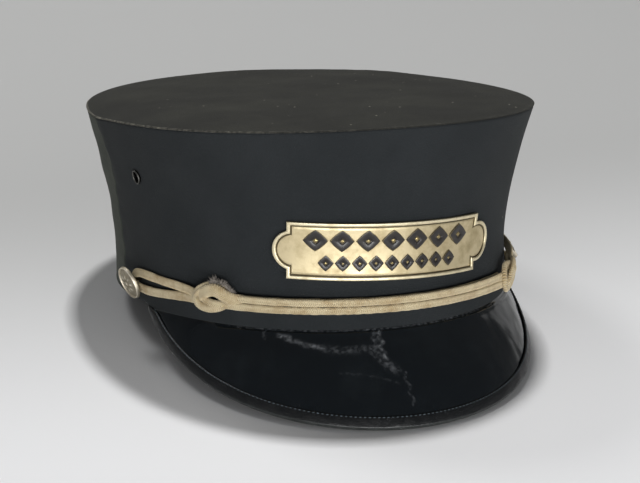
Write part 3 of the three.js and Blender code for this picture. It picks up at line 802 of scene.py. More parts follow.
@dataclass(frozen=True)
class Placement:
    """How the level cap rests: leant back about X, then moved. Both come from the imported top's flat mount."""

    lean: float
    shift: tuple[float, float, float]

    @classmethod
    def from_frame(cls, oval: HeadOval, top_height: float) -> "Placement":
        """Reads the lean and the shift off the mount on the flat of the crown.

        Args:
            oval: The level cap's shape.
            top_height: The height of the flat's middle on the level cap.

        Returns:
            The placement.
        """
        mount = next(m for m in frame["record"]["mounts"] if m["name"] == "crown_flat")
        level = np.array([-oval.fall_left, -oval.fall_back, 1.0])
        lean = math.atan2(mount["axis"][1], mount["axis"][2]) - math.atan2(level[1], level[2])
        spot = np.array([0.0, 0.0, top_height])
        moved = cls(lean, (0.0, 0.0, 0.0)).to_row(spot[None])[0]
        shift = np.array(mount["pos_m"]) - moved
        return cls(lean, tuple(shift))

    def turn(self) -> Array:
        """The rotation that leans the cap back: the front rises and the back sinks."""
        c, s = math.cos(self.lean), math.sin(self.lean)
        return np.array([[1, 0, 0], [0, c, s], [0, -s, c]])

    def to_row(self, points: Array) -> Array:
        """Points of the level cap in millimetres, as points of the resting cap in metres."""
        return points @ self.turn().T / 1000 + np.array(self.shift)


@dataclass
class CapPart:
    """A sub-assembly of the cap, which knows the oval that it is built on and where the cap rests."""

    oval: HeadOval
    placement: Placement

    def add_piece(self, parts: MeshParts, name: str, finish: bpy.types.Material, slot: Slot, *nodes: str,
                  sharp: float | None = None) -> None:
        """Builds a piece and dresses it.

        Args:
            parts: Its mesh parts.
            name: Its name.
            finish: Its material.
            slot: The record's slot of that finish; not used.
            nodes: The CAD nodes that it replaces.
            sharp: The angle in degrees past which an edge stays sharp, or None for all smooth.
        """
        dress(parts.build(name, self.placement, sharp), finish, nodes)


@dataclass
class CrownTop(CapPart):
    """The flat oval top panel: its thickness, dome, flat middle and edge.

    The middle is level up to the share flat of the way to the seam, and the dome falls from there by power.
    The edge stands out by the share lip and is rolled over the height edge. wall_top is how far the wall
    reaches past the line of the seam, and half_span turns shares of the way into millimetres.
    """

    thickness: float = 1.1
    dome: float = 3.2
    flat: float = 0.42
    power: float = 2.4
    lip: float = 0.003
    edge: float = 0.45
    sway: float = 0.4
    ripple: float = 0.1
    roll_drop: float = 0.75
    roll_width: float = 3.4
    around: int = 300
    wall_top: float = 0.5
    half_span: float = 104.0
    rolled_angle: float = 30.0
    rolled_reach: float = 42.0
    rubbed_angle: float = -92.0
    rubbed_power: float = 1.6
    seam_radius: float = 0.21
    seam_uneven: float = 0.05

    def rubbed(self, angle: Array) -> Array:
        """How rubbed the border is: a power of a raised cosine, which is one on the wearer's right."""
        return (0.5 + 0.5 * np.cos(np.radians(angle - self.rubbed_angle))) ** self.rubbed_power

    def top_height(self) -> float:
        """The height of the flat's middle."""
        return self.oval.height + GAP + self.dome + self.thickness

    def surface(self, share: Array, angle: Array, lift: Array) -> Array:
        """Points of the panel: the sloping plane, the saddle towards the edge, the dome and a lift."""
        outer = np.clip((share - self.flat) / (1 - self.flat), 0, None)
        x, y = self.oval.plan(angle, share)
        dome = self.dome * (1 - np.clip(outer, 0, 1) ** self.power)
        z = self.oval.plane_height(x, y) + self.oval.seam_rise(angle) * outer ** 2 + dome + GAP + lift
        return np.stack(np.broadcast_arrays(x, y, z), -1)

    def build(self, cloth: bpy.types.Material) -> None:
        """Builds the panel: the underside out to the edge, round it, and back over the top.

        The underside clears the wall's top edge. The cloth lies in soft waves, and on the wearer's left front
        it rolls over the seam as a quarter oval.

        Args:
            cloth: The top's material.
        """
        angle = np.linspace(0, 360, self.around, endpoint=False)[:, None]
        under = np.array([0.0, 0.2, 0.42, 0.6, 0.75, 0.88, 0.95])
        over = 1 - np.concatenate([np.linspace(0.0015, 0.06, 26), np.linspace(0.07, 1.0, 46)])
        roll = np.linspace(0, 1, 5)[1:-1]
        share_edge = 1 + self.lip * np.sin(np.pi * roll)
        share = np.concatenate([under, [0.995], share_edge, over])[None]
        seam_lift = self.wall_top - GAP + 0.08
        border = seam_lift + self.edge
        rise = border + (self.thickness - border) * np.clip((1 - over) / 0.08, 0, 1)
        lift = np.concatenate([0 * under, [seam_lift], seam_lift + self.edge * roll, rise])[None]
        inside = (1 - share) * self.half_span
        top_face = (np.arange(share.shape[1]) >= len(under) + 1)[None]
        points = self.surface(share, angle, lift)
        calm = np.clip((inside - 1.0) / 14, 0, 1)
        sway = self.sway * waves(points, 46, 3) + self.ripple * waves(points, 13, 4)
        soft = bell(turn_from(angle, self.rolled_angle), 0, self.rolled_reach)
        rolled = np.sqrt(1 - (1 - np.clip(inside / self.roll_width, 0, 1)) ** 2) * bell(inside, 0, 14)
        points[..., 2] += top_face * (sway * calm + self.roll_drop * soft * rolled)
        wear = top_face * bell(inside, 0, 0.3) * self.rubbed(angle)
        parts = MeshParts().grid(points, wrap_rows=True, wear=wear)
        self.add_piece(parts, "crown_top_cloth", cloth, Slot.TOP, "crown_top")

    def build_seam(self, cloth: bpy.types.Material) -> None:
        """Builds the seam: a thin uneven roll of cloth pinched between the wall and the top.

        Args:
            cloth: The worn cloth, pale where the seam has been rubbed on the wearer's right.
        """
        angle = np.linspace(0, 360, 720, endpoint=False)
        rim = self.oval.rim_height(angle)
        centre = self.oval.wall(angle, rim, 0.06)
        centre[:, 2] = rim + self.wall_top + 0.12
        radius = self.seam_radius + self.seam_uneven * waves(centre, 5, 21)
        points = tube(centre, radius, self.oval.outward(angle), np.array([0, 0, 1.0]), 8)
        parts = MeshParts().grid(points, wrap_rows=True, wrap_columns=True, wear=self.rubbed(angle)[:, None])
        self.add_piece(parts, "top_seam", cloth, Slot.TOP)


@dataclass
class WallPanel(CapPart):
    """One half of the side wall, from side seam to side seam.

    Its borders are rolled in by side_roll and top_roll. Each slack place has an angle, a height and a swell.
    """

    node: str
    first: float
    last: float
    columns: int = 300
    rows: int = 64
    thickness: float = 2.2
    above_rim: float = 0.5
    seam_gap: float = 0.04
    side_roll: float = 0.3
    top_roll: float = 0.2
    pucker: float = 0.2
    pucker_reach: float = 7.0
    sway: float = 0.36
    ripple: float = 0.1
    holes: tuple[float, ...] = ()
    slack: tuple[tuple[float, float, float], ...] = ((252, 51, 0.45), (252, 37, -0.35), (252, 62, -0.3))
    slack_reach: float = 14.0
    slack_rise: float = 5.0

    def build(self, cloth: bpy.types.Material) -> None:
        """Builds the panel as an outer and an inner face with rolled borders.

        Near a side seam the cloth puckers: low ripples that run along the wall and fade away from the seam.
        Slack places swell or sink as bell curves. The outer face reaches down over the visor's root.

        Args:
            cloth: The wall's material.
        """
        per_degree = self.oval.per_degree(SIDE_SEAM)
        half_gap = self.seam_gap / 2 / per_degree
        first, last = self.first + half_gap, self.last - half_gap
        s = np.linspace(0, 1, self.columns)
        ease = 0.5 - 0.5 * np.cos(np.pi * s)
        angle = (first + (last - first) * (0.65 * s + 0.35 * ease))[:, None]
        v = np.linspace(0, 1, self.rows)
        share = (0.7 * v + 0.3 * (0.5 - 0.5 * np.cos(np.pi * v)))[None]
        rim = self.oval.rim_height(angle)
        height = share * (rim + self.above_rim)
        from_seam = np.minimum(angle - first, last - angle) * per_degree
        from_top = rim + self.above_rim - height
        from_end = np.minimum(height, from_top)
        roll_side = self.side_roll * np.clip(1 - from_seam, 0, 1) ** 2
        roll_end = self.top_roll * np.clip(1 - from_top / 0.6, 0, 1) ** 2
        flat = self.oval.wall(angle, height)
        fading = np.exp(-(from_seam / self.pucker_reach) ** 1.5)
        pucker = self.pucker * np.sin(height * 0.62 + 2.2 * waves(flat, 30, 8)) * fading
        sway = self.sway * waves(flat, 52, 11) + self.ripple * waves(flat, 17, 12)
        slack = sum(swell * bell(angle, place, self.slack_reach) * bell(height, level, self.slack_rise)
                    for place, level, swell in self.slack)
        hold = np.clip(from_end / 10, 0, 1)
        out = (pucker + sway + slack) * hold - roll_side - roll_end
        over = np.clip((Visor.end - np.abs(angle)) / 3.0, 0, 1)
        slope = np.radians(Visor.slope + Visor.steeper * (angle / Visor.end) ** 2)
        drop = over * (GAP + Visor.tuck * np.tan(slope) + 0.2) * np.clip(1 - height / 4.0, 0, 1)
        outer = self.oval.wall(angle, height - drop, out)
        inner = self.oval.wall(angle, height, -self.thickness + roll_side * 0.8 + roll_end * 0.8)
        along = np.broadcast_to((angle - first) * self.oval.per_degree(0), height.shape)
        uv = np.stack([along, np.broadcast_to(height, along.shape)], -1)
        seam_wear = 0.14 * bell(from_seam, 0.6, 0.8)
        low_wear = 0.3 * bell(height, 0, 0.4)
        piece = shell(outer, inner, uv=uv, wear=np.clip(seam_wear + low_wear, 0, 1)).build(
            f"{self.node}_cloth", self.placement)
        for hole in self.holes:
            self.cut_hole(piece, hole)
        dress(piece, cloth, [self.node])

    def cut_hole(self, piece: bpy.types.Object, angle: float, height: float = 56.1, radius: float = 2.25,
                 stretch: float = 1.24) -> None:
        """Cuts an oval eyelet hole through the panel.

        Args:
            piece: The panel.
            angle: The hole's angle.
            height: The hole's height.
            radius: Half the hole's length along the wall.
            stretch: The hole's length up the wall over its length along it.
        """
        spot = self.oval.wall(np.array(angle), np.array(height))
        along, up, out = self.oval.directions(np.array(angle), np.array(height))
        sides, reach = 32, 6.0
        turn = np.radians(np.arange(sides) * 360 / sides)[:, None]
        ring = radius * (np.cos(turn) * along + stretch * np.sin(turn) * up)
        levels = [(-reach, 0.0), (-reach, 1.0), (reach, 1.0), (reach, 0.0)]
        points = np.stack([spot + out * depth + ring * size for depth, size in levels], 1)
        drill = MeshParts().grid(points, wrap_rows=True).build("drill", self.placement)
        cut = piece.modifiers.new("hole", "BOOLEAN")
        cut.operation = "DIFFERENCE"
        cut.solver = "EXACT"
        cut.object = drill
        graph = bpy.context.evaluated_depsgraph_get()
        mesh = bpy.data.meshes.new_from_object(piece.evaluated_get(graph))
        piece.modifiers.clear()
        old, piece.data = piece.data, mesh
        bpy.data.meshes.remove(old)
        bpy.data.objects.remove(drill, do_unlink=True)


@dataclass(frozen=True)
class PaleStreak:
    """A pale streak painted on the varnish: half its width in millimetres, its strength, and its angles and
    shares of the width. The table holds abrasions and cracks, and painted reflections of the lights.
    """

    half: float
    strength: float
    places: tuple[tuple[float, float], ...]


@dataclass
class Visor(CapPart):
    """The visor, its bound edge and the stitches that hold the binding.

    It would run out at the angle end and is drawn to a little short of it. It falls by slope degrees in front
    and by steeper more at its ends, and is arched by crown. Its root is tucked in behind the wall's face, and
    the binding is a strip that reaches bound over it.
    """

    width: float = 45.0
    end: float = 76.7
    drawn: float = 75.2
    power: float = 0.92
    slope: float = 52.2
    steeper: float = 12.6
    crown: float = 2.2
    thickness: float = 1.7
    tuck: float = 0.8
    bound: float = 4.2
    strip: float = 0.6
    sway: float = 0.24
    ripple: float = 0.09
    stitch_inset: float = 3.75
    stitch_lift: float = 0.06
    root_roll: float = 0.3
    root_roll_at: float = 2.8
    root_roll_reach: float = 0.9
    # A painted highlight: a pale line beside the wall, at the visor's bend.
    root_highlight_at: float = 1.5
    root_highlight_reach: float = 0.45
    # Pale streaks painted on the varnish: abrasions and cracks, and painted reflections of the lights on the
    # wavy lacquer.
    scuffs_and_glints: tuple[PaleStreak, ...] = (
        PaleStreak(0.6, 0.95, ((-3.9, 0.055), (-4.6, 0.12), (-3.6, 0.17), (-4.7, 0.22), (-3.8, 0.28),
                          (-4.0, 0.36))),
        PaleStreak(0.9, 0.4, ((-5.4, 0.07), (-5.9, 0.14), (-5.4, 0.2), (-6.6, 0.26))),
        PaleStreak(1.5, 0.36, ((-7.0, 0.24), (-5.0, 0.34), (-3.4, 0.42), (-2.2, 0.47))),
        PaleStreak(0.32, 0.34, ((0.2, 0.5), (-0.6, 0.57), (0.5, 0.63), (-0.2, 0.7), (0.7, 0.76),
                           (0.1, 0.815))),
        PaleStreak(0.8, 0.8, ((-31.0, 0.115), (-29.6, 0.125), (-28.4, 0.12))),
        PaleStreak(0.9, 0.55, ((-28.4, 0.155), (-26.0, 0.17), (-24.6, 0.185))),
        PaleStreak(0.9, 0.75, ((-24.4, 0.2), (-21.0, 0.215), (-18.6, 0.22))),
        PaleStreak(1.5, 0.3, ((-19.0, 0.23), (-14.0, 0.255), (-9.0, 0.235))),
        PaleStreak(0.5, 0.07, ((-15.2, 0.485), (-10.0, 0.5), (-6.0, 0.53), (-2.0, 0.6))),
        PaleStreak(0.6, 0.2, ((-35.0, 0.05), (-35.3, 0.1), (-34.8, 0.17))),
    )

    def width_at(self, angle: Array) -> Array:
        """The visor's width: a power of the cosine of the angle's share of a quarter turn."""
        return self.width * np.cos(np.radians(90 * angle / self.end)) ** self.power

    def point(self, angle: Array, share: Array | float, lift: Array | float = 0.0,
              beyond: Array | float = 0.0) -> Array:
        """A point on the visor.

        It lies share of the width from the wall, along a line that slopes down, arched by four times crown
        times share times (1 - share), lifted along the surface's normal and carried on past its edge.

        Args:
            angle: Angles in degrees.
            share: Shares of the width.
            lift: Heights above the upper face.
            beyond: Distances on past the point, along the surface.

        Returns:
            Points of the level cap.
        """
        angle, share, lift, beyond = np.broadcast_arrays(
            *(np.asarray(a, float) for a in (angle, share, lift, beyond)))
        width = self.width_at(angle)
        slope = np.radians(self.slope + self.steeper * (angle / self.end) ** 2)[..., None]
        level = self.oval.outward(angle)
        up = np.array([0, 0, 1.0])
        along = level * np.cos(slope) - up * np.sin(slope)
        across = level * np.sin(slope) + up * np.cos(slope)
        crown = self.crown * width / self.width
        bend = np.arctan(4 * crown * (1 - 2 * share) / width)[..., None]
        root = self.oval.wall(angle, 0 * angle, -self.tuck) - up * GAP
        arch = 4 * crown * share * (1 - share)
        surface = root + along * (share * width)[..., None] + across * arch[..., None]
        tangent = along * np.cos(bend) + across * np.sin(bend)
        normal = across * np.cos(bend) - along * np.sin(bend)
        return surface + normal * lift[..., None] + tangent * beyond[..., None]

    def scuffing_and_glints(self, angle: Array, share: Array) -> Array:
        """How pale the varnish is painted: bell curves of the distance to each streak, abrasions and painted
        reflections alike, and to a painted highlight line by the wall.

        Args:
            angle: Angles in degrees, a column.
            share: Shares of the width, a row.

        Returns:
            Numbers from 0 to 1, rows by columns.
        """
        per_degree = self.oval.per_degree(0)
        across = angle * per_degree + 0 * share
        down = share * self.width_at(angle)
        # Painted highlight: a pale line at the visor's bend, beside the wall.
        line = bell(down, self.root_highlight_at, self.root_highlight_reach) * np.exp(-((angle + 4) / 38) ** 6)
        result = 0.5 * line
        for streak in self.scuffs_and_glints:
            knots = np.array(streak.places)
            ends = np.stack([knots[:, 0] * per_degree, knots[:, 1] * self.width_at(knots[:, 0])], -1)
            for (x0, y0), (x1, y1) in zip(ends[:-1], ends[1:]):
                dx, dy = x1 - x0, y1 - y0
                along = np.clip(((across - x0) * dx + (down - y0) * dy) / (dx ** 2 + dy ** 2), 0, 1)
                away = (across - x0 - along * dx) ** 2 + (down - y0 - along * dy) ** 2
                result = np.maximum(result, streak.strength * np.exp(-away / streak.half ** 2))
        return result

    def build(self, patent: bpy.types.Material) -> None:
        """Builds the visor, with shallow waves in the hide and a low roll beside the wall.

        Args:
            patent: Its material.
        """
        s = np.linspace(-1, 1, 460)
        angle = (self.drawn * (0.8 * s + 0.2 * np.sin(s * np.pi / 2)))[:, None]
        share = np.linspace(0, 1, 95)[None]
        flat = self.point(angle, share)
        calm = np.clip(np.minimum(share, 1 - share) / 0.12, 0, 1)
        wave = self.sway * waves(flat, 30, 31) + self.ripple * waves(flat, 12, 32)
        roll = self.root_roll * bell(share * self.width_at(angle), self.root_roll_at, self.root_roll_reach)
        faded = np.clip((angle + 50) / 14, 0, 1)
        outer = self.point(angle, share, wave * calm + roll * faded)
        inner = self.point(angle, share, -self.thickness)
        parts = shell(outer, inner, wear=self.scuffing_and_glints(angle, share))
        self.add_piece(parts, "visor_patent", patent, Slot.PATENT, "visor")

    def build_binding(self, leather: bpy.types.Material) -> None:
        """Builds the folded strip: over the top, round the edge and back under, as a hooked section."""
        angle = np.linspace(-self.drawn, self.drawn, 300)[:, None]
        reach = np.minimum(self.bound / self.width_at(angle), 0.6)
        over = GAP + self.strip
        low = -self.thickness - GAP
        under = low - self.strip
        inset = np.array([1.0, 0.985, 0.95, 0.8, 0.6, 0.4, 0.2, 0.0])[None]
        roll = np.array([-0.42, -0.2, -0.05, 0.0, 0.0, 0.0, 0.0, 0.0])[None]
        dome = 0.12 * np.sin(np.pi * inset)
        turn = np.radians(np.linspace(80, -80, 9))[None]
        middle, half = (over + under) / 2, (over - under) / 2
        nose = self.point(angle, 1.0, middle + half * np.sin(turn), 0.12 + 0.95 * np.cos(turn))
        ripple = 0.07 * waves(self.point(angle, 1 - reach * inset), 6, 41)
        top = self.point(angle, 1 - reach * inset, over + roll + dome + ripple)
        bottom = self.point(angle, 1 - reach * inset[:, ::-1], under - (roll + dome)[:, ::-1])
        inner_low = self.point(angle, 1 - reach * inset, low)
        inner_nose = self.point(angle, 1.0, np.array([[low + 0.1, GAP - 0.1]]), GAP)
        inner_high = self.point(angle, 1 - reach * inset[:, ::-1], GAP)
        ring = np.concatenate([top, nose, bottom, inner_low, inner_nose, inner_high], 1)
        # The fold's wear paints the binding's edge paler: a painted highlight along it, with some rubbing.
        wear = np.zeros(ring.shape[:2])
        fold = slice(top.shape[1] - 1, top.shape[1] + nose.shape[1])
        wear[:, fold] = np.cos(np.linspace(-1.2, 1.5, nose.shape[1] + 1)) ** 2
        parts = MeshParts().grid(ring, wrap_columns=True, wear=wear)
        for row in (0, -1):
            centre = np.broadcast_to(ring[row].mean(0), ring[row].shape)
            parts.grid(np.stack([ring[row], centre]), wrap_columns=True)
        self.add_piece(parts, "visor_edge_binding", leather, Slot.BINDING, "visor_binding")

    def build_stitches(self, thread: bpy.types.Material, pitch: float = 1.9, length: float = 1.1,
                       half_width: float = 0.21, half_height: float = 0.17) -> None:
        """Builds the row of stitches along the binding's inner side, each a small sunk oval bead.

        Args:
            thread: Their material.
            pitch: From one stitch to the next.
            length: A stitch's length.
            half_width: Half its width.
            half_height: Half its height.
        """
        fine = np.linspace(-self.drawn + 3, self.drawn - 3, 3000)
        edge = self.point(fine, 1 - self.stitch_inset / self.width_at(fine))
        run = np.concatenate([[0], np.cumsum(np.linalg.norm(np.diff(edge, axis=0), axis=1))])
        count = int(run[-1] / pitch)
        middles = np.interp((np.arange(count) + 0.5) * pitch, run, fine)
        ends = np.interp((np.arange(count) + 0.5) * pitch + 0.5 * length, run, fine)
        inset = 1 - self.stitch_inset / self.width_at(middles)
        level = GAP + self.strip + self.stitch_lift
        centre = self.point(middles, inset, level)
        tip = self.point(ends, 1 - self.stitch_inset / self.width_at(ends), level)
        along = unit(tip - centre)
        out = unit(self.point(middles, inset, 2.0) - self.point(middles, inset, 0.0))
        side = np.cross(along, out)
        theta = np.linspace(0, np.pi, 6)[:, None]
        phi = np.radians(np.arange(6) * 60.0)[None]
        a = (length / 2) * np.cos(theta) + 0 * phi
        b = half_width * np.sin(theta) * np.cos(phi)
        c = half_height * np.sin(theta) * np.sin(phi)
        parts = MeshParts()
        for k in range(count):
            bead = centre[k] + a[..., None] * along[k] + b[..., None] * side[k] + c[..., None] * out[k]
            parts.grid(bead, wrap_columns=True)
        self.add_piece(parts, "visor_stitches", thread, Slot.BINDING)


@dataclass(frozen=True)
class LozengeRow:
    """A row of lozenges: how many, from one to the next, their width and height, and the row's height."""

    count: int
    pitch: float
    width: float
    tall: float
    rise: float


@dataclass
class BadgePlate(CapPart):
    """The brass front plate with its raised rim, and the rows of enamelled lozenges on it.

    Each end bulges as a part of a circle about bulge_left or bulge_right, as distances from the middle. The
    plate is bent to bend_radius, and falls towards the wearer's left by the slope fall.
    """

    half_length: float = 44.0
    half_height: float = 12.15
    bulge_radius: float = 8.6
    bulge_right: float = 41.3
    bulge_left: float = 45.0
    bend_radius: float = 88.0
    height: float = 31.2
    fall: float = 0.04
    rim_thickness: float = 1.8
    thickness: float = 1.25
    rows: tuple[LozengeRow, ...] = (LozengeRow(7, 10.8, 10.2, 9.2, 4.6), LozengeRow(9, 7.0, 6.6, 6.8, -4.9))

    def point(self, u: Array, v: Array, w: Array) -> Array:
        """A point on the plate: along its length, up from its middle and out from its back."""
        u, v, w = np.broadcast_arrays(u, v, w)
        angle = np.degrees((u + self.fall * v) / self.bend_radius)
        return self.oval.wall(angle, self.height + v - self.fall * u, GAP + w)

    def outline(self, inset: float) -> Array:
        """Half the plate's outline, from the left tip over the top to the right tip, taken in by inset.

        Args:
            inset: The distance inside the outer edge.

        Returns:
            Points along and up the plate, one for each of a fixed number of stations.
        """
        radius = self.bulge_radius - inset
        corner = self.half_length - inset
        ends = []
        for centre in (self.bulge_left, self.bulge_right):
            start = math.acos(max(-1.0, min(1.0, (corner - centre) / radius)))
            arc = np.linspace(start, 0, 26)
            bulge = np.stack([centre + radius * np.cos(arc), radius * np.sin(arc)], -1)
            rise = np.linspace(self.half_height - inset, bulge[0, 1], 7)[:-1]
            ends.append(np.vstack([np.stack([np.full_like(rise, corner), rise], -1), bulge]))
        run = np.linspace(-corner, corner, 90)[1:-1]
        top = np.stack([run, np.full_like(run, self.half_height - inset)], -1)
        return np.vstack([ends[1][::-1] * [-1, 1], top, ends[0]])

    def build(self, brass: bpy.types.Material) -> None:
        """Builds the plate: rings taken in from the outline carry the rim's rounded profile, and a grid of
        columns fills the field between the two halves of the innermost ring.

        Args:
            brass: Its material.
        """
        high, field_level = self.rim_thickness, self.thickness
        profile = [(0.0, 0.0), (0.0, high - 0.42), (0.06, high - 0.2), (0.2, high - 0.06), (0.42, high),
                   (1.12, high), (1.36, high - 0.07), (1.5, high - 0.24), (1.58, field_level - 0.12),
                   (1.78, field_level - 0.2), (2.0, field_level - 0.14), (2.2, field_level)]
        halves = [self.outline(inset) for inset, _ in profile]
        rings = []
        for half, (_, level) in zip(halves, profile):
            loop = np.vstack([half, half[::-1][1:-1] * [1, -1]])
            rings.append(self.point(loop[:, 0], loop[:, 1], np.full(len(loop), level)))
        wear = np.array([0.3, 0.7, 0.9, 1.0, 0.9, 0.85, 1.0, 0.7, 0.0, 0.0, 0.1, 0.3])[:, None]
        recess = np.array([0.2, 0, 0, 0, 0, 0, 0, 0.1, 0.8, 0.95, 0.6, 0.0])[:, None]
        parts = MeshParts().grid(np.stack(rings), wrap_columns=True, wear=wear, recess=recess)
        across = np.linspace(1, -1, 21)[None]
        for half, level, dull in ((halves[-1], field_level, 0.25), (halves[0], 0.0, 0.0)):
            u = np.broadcast_to(half[:, :1], (len(half), across.size))
            parts.grid(self.point(u, half[:, 1:] * across, np.full(u.shape, level)), wear=dull)
        self.add_piece(parts, "badge_brass_plate", brass, Slot.BADGE, "badge_plate", sharp=55)

    def build_lozenges(self, enamel: bpy.types.Material) -> None:
        """Builds the lozenges: each is a stack of shrinking diamonds, with a small boss in its middle.

        The profile gives each diamond's share of the size, its height over the plate's back and its wear.

        Args:
            enamel: Their material.
        """
        corners = np.array([[1, 0], [0, 1], [-1, 0], [0, -1]], float)
        steps = np.linspace(0, 1, 7)[:-1, None]
        edge = np.vstack([a + (b - a) * steps for a, b in zip(corners, np.roll(corners, -1, 0))])
        bow = 1 + 0.1 * np.sin(np.pi * np.tile(steps, (4, 1)))
        edge = edge * bow
        profile = [(1.0, 0.9, 0.0), (1.0, 1.5, 0.5), (0.96, 1.68, 0.7), (0.88, 1.74, 0.15),
                   (0.4, 1.72, 0.0), (0.34, 1.6, 0.1), (0.28, 1.42, 0.3), (0.22, 1.42, 0.4),
                   (0.16, 1.62, 1.0), (0.0, 1.72, 1.0)]
        size, level, wear = (column[:, None] for column in np.array(profile).T)
        parts = MeshParts()
        for row in self.rows:
            for k in range(row.count):
                middle = (k - (row.count - 1) / 2) * row.pitch
                u = middle + size * edge[None, :, 0] * row.width / 2
                v = row.rise + size * edge[None, :, 1] * row.tall / 2
                parts.grid(self.point(u, v, level), wrap_columns=True, wear=wear)
        self.add_piece(parts, "badge_lozenges", enamel, Slot.BADGE, sharp=40)


@dataclass
class SideButton(CapPart):
    """A domed side button with a raised rim, a roped border and a ring of petals, on a thread shank."""

    node: str
    angle: float
    height: float
    out: float
    tilt: float
    turn: float
    shank_angle: float
    shank_height: float
    radius: float = 7.4
    dome_height: float = 0.9
    dome_share: float = 0.84
    shank_radius: float = 0.72
    petals: int = 8
    rope_turns: int = 36

    def relief(self, r: Array, theta: Array) -> Array:
        """The face's height: a shallow dome, a rolled rim, a roped ring and petals round a boss.

        Args:
            r: The share of the radius.
            theta: The angle round the face, in radians.

        Returns:
            The height in millimetres.
        """
        rim = 0.62 * bell(r, 0.95, 0.035)
        rope = 0.3 * bell(r, 0.8, 0.05) * (0.5 + 0.5 * np.sin(theta * self.rope_turns + r * 30))
        petal = np.clip(np.cos(self.petals / 2 * theta) ** 2 - 0.25, 0, 1)
        vein = 1 - 0.35 * bell(np.sin(self.petals / 2 * theta), 0, 0.18)
        boss = 0.5 * bell(r, 0, 0.12) - 0.25 * bell(r, 0.19, 0.04)
        return 0.1 + self.dome(r) + rim + rope + 0.62 * petal * bell(r, 0.43, 0.2) * vein + boss

    def dome(self, r: Array) -> Array:
        """The face's plain dome, inside its roped ring."""
        return self.dome_height * (1 - (r / self.dome_share) ** 2) * (r < self.dome_share)

    def head(self) -> tuple[Array, Array, Array, Array, Array]:
        """The head's places on its own face: a polar grid of its relief over a closed back.

        Returns:
            Distances along the face and up it, levels off it, wear and recess.
        """
        back = [(0.99, -0.05), (1.0, -0.35), (1.0, -0.7), (0.97, -0.95), (0.9, -1.1), (0.5, -1.1),
                (0.0, -1.1)]
        back_r, back_level = np.array(back).T
        r = np.concatenate([np.linspace(0, 0.97, 90), back_r])[:, None]
        theta = np.radians(np.arange(180) * 2.0)[None]
        face = self.relief(r, theta)
        face = face - 0.1 * waves(np.stack(np.broadcast_arrays(r * 7, theta, 0 * r), -1), 3, 51) * (r < 0.9)
        level = np.broadcast_to(face, (r.size, theta.size)).copy()
        level[-len(back):] = back_level[:, None]
        recess = np.clip((0.55 + self.dome_height * (1 - (r / 0.9) ** 2) - face) * 1.7, 0, 0.5) * (r < 0.88)
        recess[-len(back):] = 0.3
        wear = np.clip((face - self.dome(r) - 0.16) * 2.6, 0, 1)
        return r * self.radius * np.cos(theta), r * self.radius * np.sin(theta), level, wear, recess

    def shank(self, top: Array, up: Array) -> Array:
        """The thread shank: a lumpy tube from the wall, out past the cord and up to the head.

        Args:
            top: Where it meets the head.
            up: The direction up the wall.

        Returns:
            Its rings of points, closed at both ends.
        """
        spot = np.array(self.shank_angle), np.array(self.shank_height)
        path = smooth_path(np.stack([self.oval.wall(*spot, 0.1), self.oval.wall(*spot, 2.95), top]), 24)
        tangent = unit(np.gradient(path, axis=0))
        side = unit(np.cross(tangent, up))
        radius = self.shank_radius + 0.08 * np.sin(np.arange(len(path)) * 2.4)
        rings = tube(path, radius, side, np.cross(tangent, side), 10)
        rings[0] = rings[0].mean(0)
        rings[-1] = rings[-1].mean(0)
        return rings

    def build(self, gilt: bpy.types.Material) -> None:
        """Builds the head, turned and tilted as it hangs, and the shank below it.

        Args:
            gilt: Their material.
        """
        along, up, out = self.oval.directions(np.array(self.angle), np.array(self.height))
        middle = self.oval.wall(np.array(self.angle), np.array(self.height)) + out * self.out
        c, s = math.cos(math.radians(self.turn)), math.sin(math.radians(self.turn))
        along, ahead = along * c - out * s, out * c + along * s
        c, s = math.cos(math.radians(self.tilt)), math.sin(math.radians(self.tilt))
        face_up, face_out = up * c - ahead * s, ahead * c + up * s
        x, y, level, wear, recess = self.head()
        points = middle + x[..., None] * along + y[..., None] * face_up + level[..., None] * face_out
        parts = MeshParts().grid(points, wrap_columns=True, wear=wear, recess=recess)
        parts.grid(self.shank(middle - face_out * 0.9, up), wrap_columns=True, recess=1.0)
        self.add_piece(parts, f"{self.node}_gilt", gilt, Slot.BUTTON, self.node)


@dataclass
class Eyelet(CapPart):
    """A japanned eyelet: a rolled flange outside the wall and a barrel through it."""

    node: str
    angle: float
    height: float = 56.1
    side_angle: ClassVar[float] = 74.0
    bore: float = 1.95
    barrel: float = 2.15
    flange: float = 2.6
    stretch: float = 1.24

    def build(self, japan: bpy.types.Material) -> None:
        """Builds the eyelet as a closed profile turned about the hole's axis and stretched up the wall."""
        turn = np.radians(np.linspace(-60, 200, 14))
        mid, half = (self.flange + self.bore) / 2, (self.flange - self.bore) / 2
        lip = np.stack([mid + half * np.cos(turn), 0.5 + 0.5 * np.sin(turn)], -1)
        profile = np.vstack([lip, [[self.bore, -2.5], [self.barrel, -2.5], [self.barrel, 0.1]]])
        along, up, out = self.oval.directions(np.array(self.angle), np.array(self.height))
        spot = self.oval.wall(np.array(self.angle), np.array(self.height))
        around = np.radians(np.arange(48) * 7.5)[:, None, None]
        radius, depth = profile[None, :, :1], profile[None, :, 1:]
        points = spot + radius * (np.cos(around) * along + self.stretch * np.sin(around) * up) + depth * out
        wear = np.broadcast_to(np.where(profile[:, 1] > 0.6, 0.9, 0.1)[None], points.shape[:2])
        parts = MeshParts().grid(points, wrap_rows=True, wrap_columns=True, wear=wear)
        self.add_piece(parts, f"{self.node}_ring", japan, Slot.EYELET, self.node)


